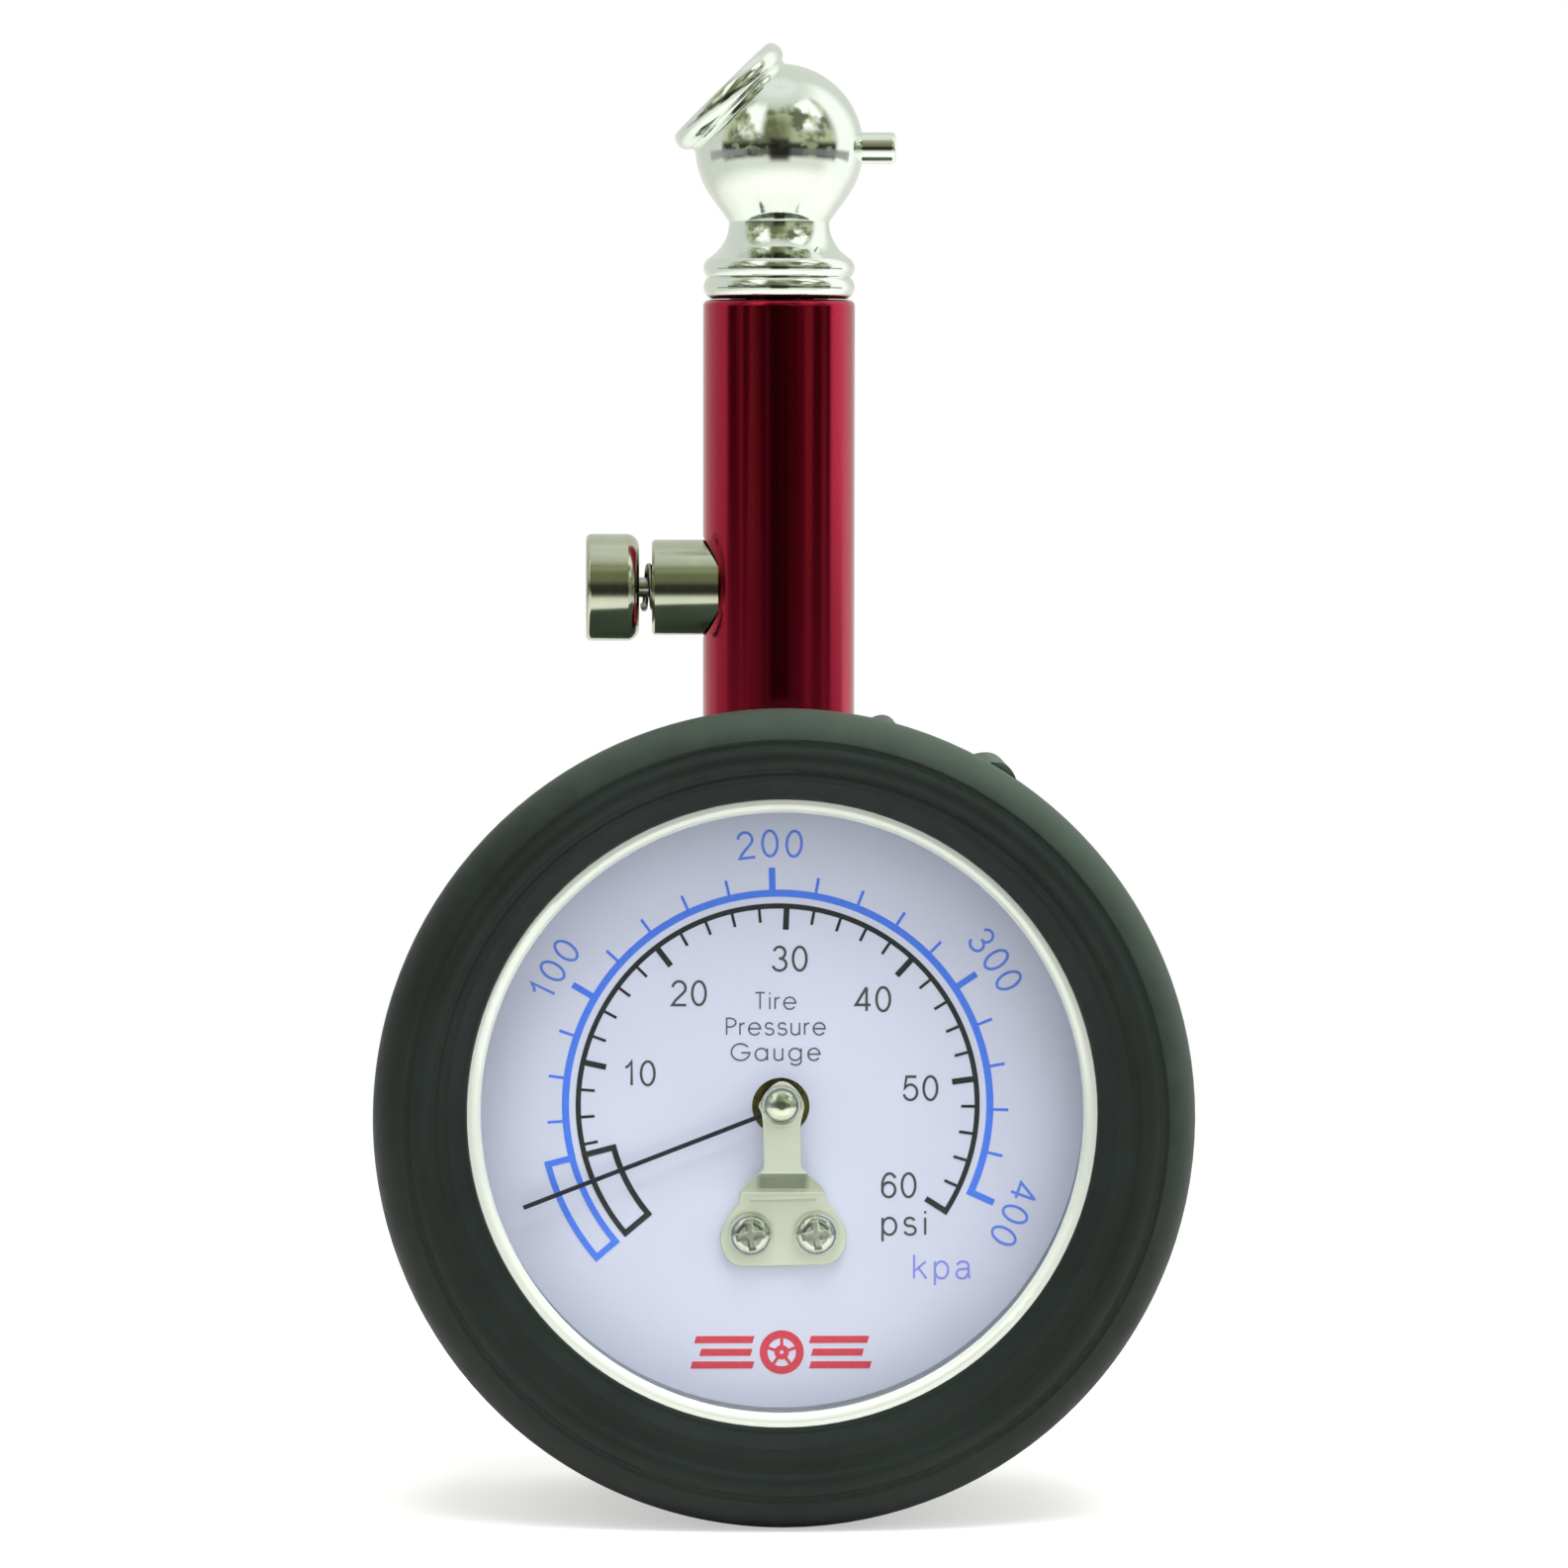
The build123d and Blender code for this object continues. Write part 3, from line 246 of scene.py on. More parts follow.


# the boot's last argument sets the strength of its painted top light
RUBBER = rubber("boot_rubber", (0.0068, 0.0112, 0.0098), 0.50, 1.0, 0.34, 0.85)
CHROME = metal("chuck_chrome", (0.86, 0.91, 0.86), 0.04, (0.80, 0.86, 0.80), 0.02, 0.10)
BEZEL = metal("bezel_bright", (0.76, 0.80, 0.74), 0.20, (0.74, 0.78, 0.72), -0.056, fine=0.08, metallic=0.32)
# painted shade: the retainer is coloured dark grey, standing in for the shade on its inner wall, seen as a thin dark
# line inside the bezel
RETAIN = metal("retainer_bright", (0.30, 0.34, 0.37), 0.30, (0.28, 0.31, 0.34), -0.05, fine=0.08, metallic=0.5)
BRASS = metal("brass", (0.66, 0.47, 0.17), 0.26, (0.50, 0.36, 0.13), 0.2)
# painted shade: the front plate's brass is darkened, standing in for the shade in the recess behind the dial's centre
# hole
BRASS_DARK = metal("brass_shaded", (0.26, 0.235, 0.085), 0.30, (0.21, 0.19, 0.065), 0.05)
BRONZE = metal("bronze", (0.62, 0.40, 0.20), 0.28, (0.46, 0.30, 0.14), 0.2)
STEEL = metal("steel", (0.56, 0.57, 0.56), 0.24, (0.42, 0.43, 0.42), 0.2)
SPRING = metal("spring_wire", (0.50, 0.50, 0.46), 0.25, (0.30, 0.30, 0.27), 0.2)
CASE = metal("case_steel", (0.50, 0.51, 0.50), 0.33, (0.40, 0.41, 0.40), 0.3)


def paint_collar_shadow(m):
    """Painted shadow: the chrome is darkened below the collar, in the gap between the chuck's collar and the stem."""
    sp = m.node("ShaderNodeSeparateXYZ"); m.link(m.coords(), sp.inputs[0])
    f = m.range(sp.outputs["Z"], 0.06325, 0.06345, 0.94, 0.0)
    old = m.b.inputs["Base Color"].links[0].from_socket
    m.to(m.mix(f, old, (0.05, 0.02, 0.02, 1)), "Base Color")


paint_collar_shadow(CHROME)
NICKEL_X = turned("nickel_turned_x", (0.60, 0.63, 0.50), 0.13, "x", 0.35)
DARKSEAL = rubber("seal_rubber", (0.010, 0.010, 0.010), 0.45, 0.5)

# anodised stem: coloured metal under a clear layer, faintly drawn along its length, with fine grain
def anodised():
    m = Mat("stem_anodised")
    v = m.coords()
    drawn = m.noise(m.coords(scale=(1, 1, 0.012)), 3000, 3, 0.6)
    cloud = m.noise(v, 130, 4, 0.6)
    grain = m.noise(v, 5200, 2, 0.5)
    c = m.ramp(cloud, [(0.3, (0.42, 0.003, 0.034)), (0.7, (0.47, 0.004, 0.042))])
    c = m.mix(m.range(grain, 0.45, 0.75, 0.0, 0.40), c, (0.27, 0.002, 0.028, 1))
    m.to(c, "Base Color")
    m.to(m.range(grain, 0.3, 0.7, 0.10, 0.17), "Roughness")
    n = m.bump(drawn, 0.06, 0.00001)
    n = m.bump(grain, 0.05, 0.00001, n)
    m.to(n, "Normal")
    m.set(Metallic=1.0, Coat_Weight=0.35, Coat_Roughness=0.04, Coat_IOR=1.5)
    return m


RED = anodised()

def dial_paint():
    m = Mat("dial_paint")
    v = m.coords()
    n = m.noise(v, 60, 3, 0.5)
    f = m.noise(v, 2400, 2, 0.5)
    c = m.ramp(n, [(0.3, lin(219, 222, 243)), (0.7, lin(224, 227, 247))])
    c = m.mix(m.range(f, 0.55, 0.75, 0, 0.08), c, lin(203, 206, 226))
    m.to(c, "Base Color")
    m.to(m.range(f, 0.3, 0.7, 0.42, 0.55), "Roughness")
    m.to(m.bump(f, 0.08, 0.00001), "Normal")
    m.set(Specular_IOR_Level=0.3)
    return m


def ink(name, col, rough=0.45):
    m = Mat(name)
    v = m.coords()
    f = m.noise(v, 3000, 2, 0.6)
    m.to(m.ramp(f, [(0.3, col), (0.8, tuple(min(1, x * 1.25 + 0.004) for x in col[:3]) + (1,))]), "Base Color")
    m.to(m.range(f, 0.3, 0.7, rough - 0.05, rough + 0.08), "Roughness")
    m.to(m.bump(f, 0.05, 0.00001), "Normal")
    return m


DIAL = dial_paint()
INK_BLACK = ink("ink_black", lin(38, 44, 46))
INK_TEXT = ink("ink_text", lin(72, 76, 76))
INK_TITLE = ink("ink_title", lin(92, 95, 102))
INK_BLUE = ink("ink_blue", lin(74, 126, 250))
INK_VIOLET = ink("ink_violet", lin(134, 142, 232))
INK_FIGURE = ink("ink_figure_blue", lin(94, 136, 244))
INK_RED = ink("ink_red", lin(214, 52, 74))
POINTER = ink("pointer_paint", lin(28, 31, 46), 0.35)
BRIDGE = metal("bridge_nickel", (0.86, 0.90, 0.73), 0.24, (0.82, 0.86, 0.69), 0.03, metallic=0.40, edge=0.00022)


def polish_dome_paint_joggle_reflection(m):
    """The bearing's dome is polished, the strip round it satin; the joggle gets a painted reflection."""
    v = m.coords(scale=(1, 0, 1), loc=(0, 0, -0.0003))
    ln = m.node("ShaderNodeVectorMath", operation="LENGTH")
    m.link(v, ln.inputs[0])
    d = m.range(ln.outputs["Value"], 0.00150, 0.00168, 1.0, 0.0)
    m.to(m.range(d, 0.0, 1.0, 0.40, 0.95), "Metallic")
    m.to(m.range(d, 0.0, 1.0, 0.24, 0.10), "Roughness")
    # painted reflection: the base colour is darkened where the joggle leans down, standing in for the darker table it
    # mirrors
    g = m.node("ShaderNodeNewGeometry")
    sx = m.node("ShaderNodeSeparateXYZ"); m.link(g.outputs["True Normal"], sx.inputs[0])
    down = m.math("MULTIPLY", m.range(sx.outputs["Z"], -0.75, -0.45, 1.0, 0.0), m.range(sx.outputs["Y"], -0.5, -0.35, 1.0, 0.0))
    q = m.coords()
    px = m.node("ShaderNodeSeparateXYZ"); m.link(q, px.inputs[0])
    side = m.range(m.math("ABSOLUTE", m.math("SUBTRACT", px.outputs["X"], 0.00012)), 0.0017, 0.0022, 1.0, 0.0)
    joggle_reflection_mask = m.math("MULTIPLY", down, side)
    old = m.b.inputs["Base Color"].links[0].from_socket
    m.to(m.mix(m.math("MULTIPLY", joggle_reflection_mask, 0.85), old, (0.26, 0.31, 0.22, 1)), "Base Color")


polish_dome_paint_joggle_reflection(BRIDGE)

SCREW = metal("screw_nickel", (0.82, 0.86, 0.76), 0.10, (0.66, 0.70, 0.58), 0.08, 0.16, metallic=0.95, edge=0.00008)

def window():
    m = Mat("window_clear")
    n, l = m.n, m.l
    n.remove(m.b)
    out = n["Material Output"]
    tr = m.node("ShaderNodeBsdfTransparent")
    tr.inputs["Color"].default_value = (0.985, 0.99, 0.99, 1)
    gl = m.node("ShaderNodeBsdfGlossy")
    gl.inputs["Roughness"].default_value = 0.03
    gl.inputs["Color"].default_value = (0.9, 0.95, 1, 1)
    fr = m.node("ShaderNodeFresnel")
    fr.inputs["IOR"].default_value = 1.45
    v = m.coords()
    scratch = m.noise(m.coords(scale=(1, 1, 0.03), rot=(0, 0.7, 0)), 3000, 2, 0.6)
    m.link(m.bump(scratch, 0.02, 0.00001), gl.inputs["Normal"])
    half = m.math("MULTIPLY", fr.outputs[0], 0.35)
    mx = m.node("ShaderNodeMixShader")
    m.link(half, mx.inputs[0]); m.link(tr.outputs[0], mx.inputs[1]); m.link(gl.outputs[0], mx.inputs[2])
    m.link(mx.outputs[0], out.inputs["Surface"])
    return m


WINDOW = window()
assign = {
    "rubber_boot": RUBBER, "case_cup": CASE, "bezel_ring": BEZEL, "lens": WINDOW, "lens_gasket": DARKSEAL, "dial_retainer": RETAIN,
    "dial_plate": DIAL, "bridge": BRIDGE, "bridge_screws": SCREW, "movement_front_plate": BRASS_DARK, "movement_rear_plate": BRASS,
    "plate_pillars": BRASS, "plate_screws": STEEL, "stem_socket": BRASS, "bourdon_tube": BRONZE, "tube_end_cap": BRASS, "tip_pin": STEEL,
    "pinion_arbor": STEEL, "sector_gear": BRASS, "sector_arbor": STEEL, "link_pin": STEEL, "link_bar": BRASS, "hairspring_collet": BRASS,
    "hairspring": SPRING, "pointer": POINTER, "stem_tube": RED, "bleeder_body": NICKEL_X, "bleeder_knob": NICKEL_X, "bleeder_stem": STEEL,
    "bleeder_seal": DARKSEAL, "bleeder_spring": SPRING, "check_poppet": BRASS, "check_seal": DARKSEAL, "check_spring": SPRING,
    "chuck_body": CHROME, "chuck_seal": DARKSEAL, "core_depressor": BRASS, "nipple_o_ring": DARKSEAL, "deflator_pin": CHROME,
}
for k in nodes:
    give(k, assign[k])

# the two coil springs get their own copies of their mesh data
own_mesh(nodes["bleeder_spring"])
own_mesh(nodes["check_spring"])

# ---------------------------------------------------------------- dial print
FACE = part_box("dial_plate")[0].y          # the dial's printed face
INK_T = 0.00002
CX, CZ = -0.23, 0.12                      # centre of the scales, mm


def circ(cx, cz, rx, rz, a0, a1, step=4.0):
    n = max(2, int(abs(a1 - a0) / step) + 1)
    return [(cx + rx * math.cos(math.radians(a0 + (a1 - a0) * i / (n - 1))), cz + rz * math.sin(math.radians(a0 + (a1 - a0) * i / (n - 1)))) for i in range(n)]


class Print:
    """A thin layer of ink: closed slabs, drawn as strokes of even width in the dial's plane."""
    def __init__(self, name, mat, layer=0):
        self.name, self.mat, self.bm, self.layer, self.k = name, mat, bmesh.new(), layer, 0

    def slab(self, left, right, closed=False):
        """Left and right edges of a stroke, as lists of points in mm."""
        y0 = FACE - 0.0000005
        self.k += 1
        y1 = FACE - INK_T - self.layer * 0.000004 - self.k * 0.0000008
        rows = []
        for p, q in zip(left, right):
            rows.append([self.bm.verts.new((c[0] * MM, y, c[1] * MM)) for c, y in ((p, y1), (q, y1), (q, y0), (p, y0))])
        n = len(rows)
        for i in range(n if closed else n - 1):
            a, b = rows[i], rows[(i + 1) % n]
            for k in range(4):
                self.bm.faces.new((a[k], a[(k + 1) % 4], b[(k + 1) % 4], b[k]))
        if not closed:
            self.bm.faces.new(rows[0][::-1])
            self.bm.faces.new(rows[-1])

    def stroke(self, pts, w, closed=False, ext=0.0):
        pts = [p for i, p in enumerate(pts) if i == 0 or math.dist(p, pts[i - 1]) > 1e-5]
        if closed and math.dist(pts[0], pts[-1]) < 1e-5:
            pts = pts[:-1]
        n = len(pts)
        if ext and not closed:
            d = Vector(pts[0]) - Vector(pts[1]); d.normalize(); pts[0] = tuple(Vector(pts[0]) + d * ext)
            d = Vector(pts[-1]) - Vector(pts[-2]); d.normalize(); pts[-1] = tuple(Vector(pts[-1]) + d * ext)
        left, right = [], []
        for i in range(n):
            p = Vector(pts[i])
            if closed:
                a, b = Vector(pts[i - 1]), Vector(pts[(i + 1) % n])
            else:
                a, b = Vector(pts[max(0, i - 1)]), Vector(pts[min(n - 1, i + 1)])
            d1 = (p - a).normalized() if (p - a).length > 1e-9 else (b - p).normalized()
            d2 = (b - p).normalized() if (b - p).length > 1e-9 else d1
            n1, n2 = Vector((-d1.y, d1.x)), Vector((-d2.y, d2.x))
            m = n1 + n2
            if m.length < 1e-6:
                m = n1.copy()
            m.normalize()
            k = min(2.2, 1.0 / max(0.2, m.dot(n1)))
            left.append(tuple(p + m * (w / 2 * k)))
            right.append(tuple(p - m * (w / 2 * k)))
        self.slab(left, right, closed)

    def text(self, s, x, z, h, w, gap=0.16, rot=0.0, align="c", xs=1.0):
        total = sum(GLYPH[c][0] * xs for c in s) * h + gap * h * (len(s) - 1)
        at = -total / 2 if align == "c" else 0.0
        ca, sa = math.cos(math.radians(rot)), math.sin(math.radians(rot))
        for c in s:
            adv, strokes = GLYPH[c]
            for pts, closed in strokes:
                out = [(at + px * h * xs, (pz - 0.5) * h) for px, pz in pts]
                out = [(x + px * ca - pz * sa, z + px * sa + pz * ca) for px, pz in out]
                self.stroke(out, w, closed)
            at += adv * h * xs + gap * h

    def done(self, body="gauge_body"):
        bmesh.ops.recalc_face_normals(self.bm, faces=self.bm.faces[:])
        me = bpy.data.meshes.new(self.name)
        self.bm.to_mesh(me)
        self.bm.free()
        me.materials.append(self.mat.m)
        o = bpy.data.objects.new(self.name, me)
        bpy.context.scene.collection.objects.link(o)
        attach(o, body)
        return o


S = lambda *p: (list(p), False)
def A(cx, cz, rx, rz, a0, a1, closed=False, step=10.0):
    return (circ(cx, cz, rx, rz, a0, a1, step), closed)
def J(*parts):
    out = []
    for p in parts:
        out += p[0] if isinstance(p, tuple) and isinstance(p[0], list) else list(p)
    return (out, False)


# plain monoline figures and letters: advance, then strokes, on a body one unit high
GLYPH = {
    "0": (0.58, [A(0.29, 0.5, 0.25, 0.5, 90, 450, True)]),
    "1": (0.46, [S((0.08, 0.74), (0.2, 0.82), (0.31, 1.0), (0.31, 0.0))]),
    "2": (0.58, [J(A(0.29, 0.715, 0.24, 0.285, 172, -28), [(0.40, 0.46), (0.16, 0.20), (0.04, 0.0), (0.56, 0.0)])]),
    "3": (0.58, [A(0.28, 0.75, 0.21, 0.25, 165, -92), A(0.28, 0.255, 0.25, 0.255, 96, -168)]),
    "4": (0.60, [S((0.43, 0.0), (0.43, 1.0)), S((0.43, 1.0), (0.03, 0.26), (0.58, 0.26))]),
    "5": (0.58, [J([(0.51, 0.985), (0.14, 0.985), (0.07, 0.50)], A(0.285, 0.325, 0.25, 0.325, 138, -165))]),
    "6": (0.58, [A(0.29, 0.31, 0.24, 0.31, 90, 450, True), A(0.32, 0.50, 0.27, 0.50, 200, 38)]),
    "p": (0.52, [S((0.05, -0.28), (0.05, 0.72)), A(0.27, 0.36, 0.22, 0.36, 0, 360, True)]),
    "s": (0.44, [J(A(0.21, 0.54, 0.16, 0.18, 20, 245), A(0.22, 0.19, 0.18, 0.19, 75, -165))]),
    "i": (0.14, [S((0.07, 0.0), (0.07, 0.72)), S((0.07, 0.90), (0.07, 1.0))]),
    "k": (0.48, [S((0.05, 0.0), (0.05, 1.0)), S((0.43, 0.72), (0.05, 0.30)), S((0.19, 0.45), (0.46, 0.0))]),
    "a": (0.54, [J(A(0.25, 0.52, 0.19, 0.20, 165, 0), [(0.44, 0.15), (0.48, 0.0)]), J([(0.44, 0.42)], A(0.22, 0.20, 0.18, 0.20, 80, 330), [(0.44, 0.25)])]),
    "T": (0.44, [S((0.0, 1.0), (0.42, 1.0)), S((0.21, 1.0), (0.21, 0.0))]),
    "r": (0.26, [S((0.04, 0.0), (0.04, 0.72)), A(0.24, 0.46, 0.20, 0.24, 180, 88)]),
    "e": (0.60, [J([(0.04, 0.37), (0.55, 0.37)], A(0.295, 0.36, 0.255, 0.36, 2, 325))]),
    "P": (0.46, [J([(0.04, 0.0), (0.04, 1.0), (0.22, 1.0)], A(0.20, 0.74, 0.24, 0.26, 85, -88), [(0.04, 0.48)])]),
    "u": (0.46, [J([(0.04, 0.72), (0.04, 0.24)], A(0.22, 0.22, 0.18, 0.22, 180, 360), [(0.40, 0.72)]), S((0.40, 0.3), (0.40, 0.0))]),
    "G": (0.84, [J(A(0.42, 0.5, 0.40, 0.5, 38, 350), [(0.82, 0.46), (0.45, 0.46)])]),
    "o": (0.60, [A(0.30, 0.36, 0.26, 0.36, 0, 360, True)]),
    "A": (0.62, [A(0.29, 0.36, 0.26, 0.36, 0, 360, True), S((0.55, 0.72), (0.55, 0.0))]),
    "g": (0.62, [A(0.29, 0.36, 0.26, 0.36, 0, 360, True), J([(0.55, 0.72), (0.55, -0.06)], A(0.31, -0.06, 0.24, 0.22, 0, -150))]),
}


def polar(r, a):
    return (CX + r * math.cos(math.radians(a)), CZ + r * math.sin(math.radians(a)))


PSI = lambda p: 207.5 - 4.0 * p
KPA = lambda k: 207.5 - 0.580 * k
BOX_A, BOX_B = 194.5, 220.2

blue = Print("dial_scale_kpa", INK_BLUE)
R_BL = 16.6
blue.stroke(circ(CX, CZ, R_BL, R_BL, BOX_A, KPA(400) - 0.8, 1.5), 0.56)
for k in range(40, 400, 20):
    major = k % 100 == 0
    a = KPA(k)
    blue.stroke([polar(R_BL, a), polar(18.6 if major else 18.05, a)], 0.5 if major else 0.22)
blue.stroke([polar(R_BL - 0.28, KPA(400)), polar(18.6, KPA(400))], 0.52)
blue.stroke([polar(R_BL, BOX_A), polar(18.55, BOX_A)], 0.5, ext=0.25)
blue.stroke([polar(R_BL, BOX_B), polar(18.55, BOX_B)], 0.5, ext=0.25)
blue.stroke(circ(CX, CZ, 18.55, 18.55, BOX_A - 0.7, BOX_B + 0.7, 1.5), 0.5)
blue.stroke(circ(CX, CZ, R_BL, R_BL, BOX_A - 0.7, BOX_B + 0.7, 1.5), 0.5)
blue.done()

black = Print("dial_scale_psi", INK_BLACK, 1)
R_BK = 15.6
black.stroke(circ(CX, CZ, R_BK, R_BK, BOX_A, PSI(60) - 0.8, 1.5), 0.41)
for p in range(4, 60, 2):
    major = p % 10 == 0
    a = PSI(p)
    black.stroke([polar(R_BK, a), polar(13.75 if major else 14.35, a)], 0.46 if major else 0.22)
black.stroke([polar(R_BK + 0.2, PSI(60)), polar(13.75, PSI(60))], 0.46)
black.stroke([polar(R_BK, BOX_A), polar(13.25, BOX_A)], 0.45, ext=0.2)
black.stroke([polar(R_BK, BOX_B), polar(13.25, BOX_B)], 0.45, ext=0.2)
black.stroke(circ(CX, CZ, 13.25, 13.25, BOX_A - 0.8, BOX_B + 0.8, 1.5), 0.45)
black.stroke(circ(CX, CZ, R_BK, R_BK, BOX_A - 0.8, BOX_B + 0.8, 1.5), 0.42)
black.done()

fig = Print("dial_figures_psi", INK_TEXT)
for s, x, z in (("10", -11.08, 2.61), ("20", -7.21, 8.89), ("30", 0.66, 11.59), ("40", 7.17, 8.41), ("50", 10.9, 1.42), ("60", 9.21, -6.21)):
    fig.text(s, x + 0.03, z, 1.86, 0.205, gap=0.18, xs=1.13)
fig.text("psi", 9.68, -9.18, 1.86, 0.185, gap=0.26, xs=1.30)
fig.done()

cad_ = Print("dial_figures_kpa", INK_FIGURE)
for s, a in (("100", 149.1), ("200", 91.8), ("300", 33.7), ("400", -24.9)):
    # each figure stands on the circle, its top outward
    adv = 5.3
    for i, c in enumerate(s):
        aa = a - (i - 1) * adv * (0.92 if "1" in s and i == 0 else 1.0)
        x, z = polar(20.5, aa)
        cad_.text(c, x, z, 2.0, 0.215, rot=aa - 90, xs=1.16)
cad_.done()
unit = Print("dial_unit_kpa", INK_VIOLET)
unit.text("kpa", 12.66, -12.63, 1.86, 0.175, gap=0.26, xs=1.28)
unit.done()

title = Print("dial_title", INK_TITLE)
for s, z, h, g in (("Tire", 8.28, 1.3, 0.17), ("Pressure", 6.27, 1.3, 0.17), ("GAuge", 4.27, 1.3, 0.27)):
    title.text(s, -0.38, z, h, 0.125, gap=g, xs=1.38)
title.done()

# a plain pictogram: a wheel between speed bars
mark = Print("dial_mark", INK_RED)
mz = -19.35
mark.stroke(circ(0.1, mz, 1.42, 1.42, 0, 360, 6), 0.62, True)
mark.stroke(circ(0.1, mz, 0.36, 0.36, 0, 360, 15), 0.42, True)
for i in range(5):
    a = 90 + 72 * i
    mark.stroke([(0.1 + 0.5 * math.cos(math.radians(a)), mz + 0.5 * math.sin(math.radians(a))), (0.1 + 1.2 * math.cos(math.radians(a)), mz + 1.2 * math.sin(math.radians(a)))], 0.24)
for x0, x1, z in ((-6.6, -2.2, -18.35), (-6.2, -2.35, -19.35), (-6.9, -2.2, -20.35), (2.4, 6.8, -18.35), (2.55, 6.4, -19.35), (2.4, 7.0, -20.35)):
    sh = 0.16
    mark.slab([(x0, z + 0.28), (x1 + sh, z + 0.28)], [(x0 - sh, z - 0.28), (x1, z - 0.28)])
mark.done()

# ---------------------------------------------------------------- floor
def floor():
    me = bpy.data.meshes.new("floor")
    bm = bmesh.new()
    z = lo0.z - 0.00002
    # a round sheet under the gauge that fades into the white surround
    rings = [(0.0005, 1)] + [(0.34 * (i / 14) ** 1.3, 1) for i in range(1, 15)]
    rows = []
    for r, _ in rings:
        rows.append([bm.verts.new((r * math.cos(2 * math.pi * k / 96), -0.015 + r * math.sin(2 * math.pi * k / 96), z)) for k in range(96)])
    bm.faces.new(rows[0])
    for a, b in zip(rows, rows[1:]):
        for k in range(96):
            bm.faces.new((a[k], b[k], b[(k + 1) % 96], a[(k + 1) % 96]))
    bmesh.ops.recalc_face_normals(bm, faces=bm.faces[:])
    bm.to_mesh(me); bm.free()
    o = bpy.data.objects.new("floor", me)
    bpy.context.scene.collection.objects.link(o)
    m = Mat("floor_pale")
    v = m.coords()
    n = m.noise(v, 30, 3, 0.5)
    m.to(m.ramp(n, [(0.3, (0.60, 0.605, 0.575)), (0.7, (0.63, 0.635, 0.605))]), "Base Color")
    m.set(Roughness=0.9, Specular_IOR_Level=0.1)
    m.b.inputs["Emission Color"].default_value = (1, 1, 1, 1)
    lp = m.node("ShaderNodeLightPath")
    m.to(m.math("MULTIPLY", lp.outputs["Is Camera Ray"], 0.48), "Emission Strength")
    ln = m.node("ShaderNodeVectorMath", operation="LENGTH")
    m.link(v, ln.inputs[0])
    fade = m.node("ShaderNodeMapRange", interpolation_type="SMOOTHERSTEP")
    for k_, v_ in zip(("From Min", "From Max", "To Min", "To Max"), (0.07, 0.30, 1.0, 0.0)):
        fade.inputs[k_].default_value = v_
    m.link(ln.outputs["Value"], fade.inputs["Value"])
    bk = m.node("ShaderNodeNewGeometry")
    m.to(m.math("MULTIPLY", fade.outputs["Result"], bk.outputs["Backfacing"]), "Alpha")
    me.materials.append(m.m)
    return o


floor()

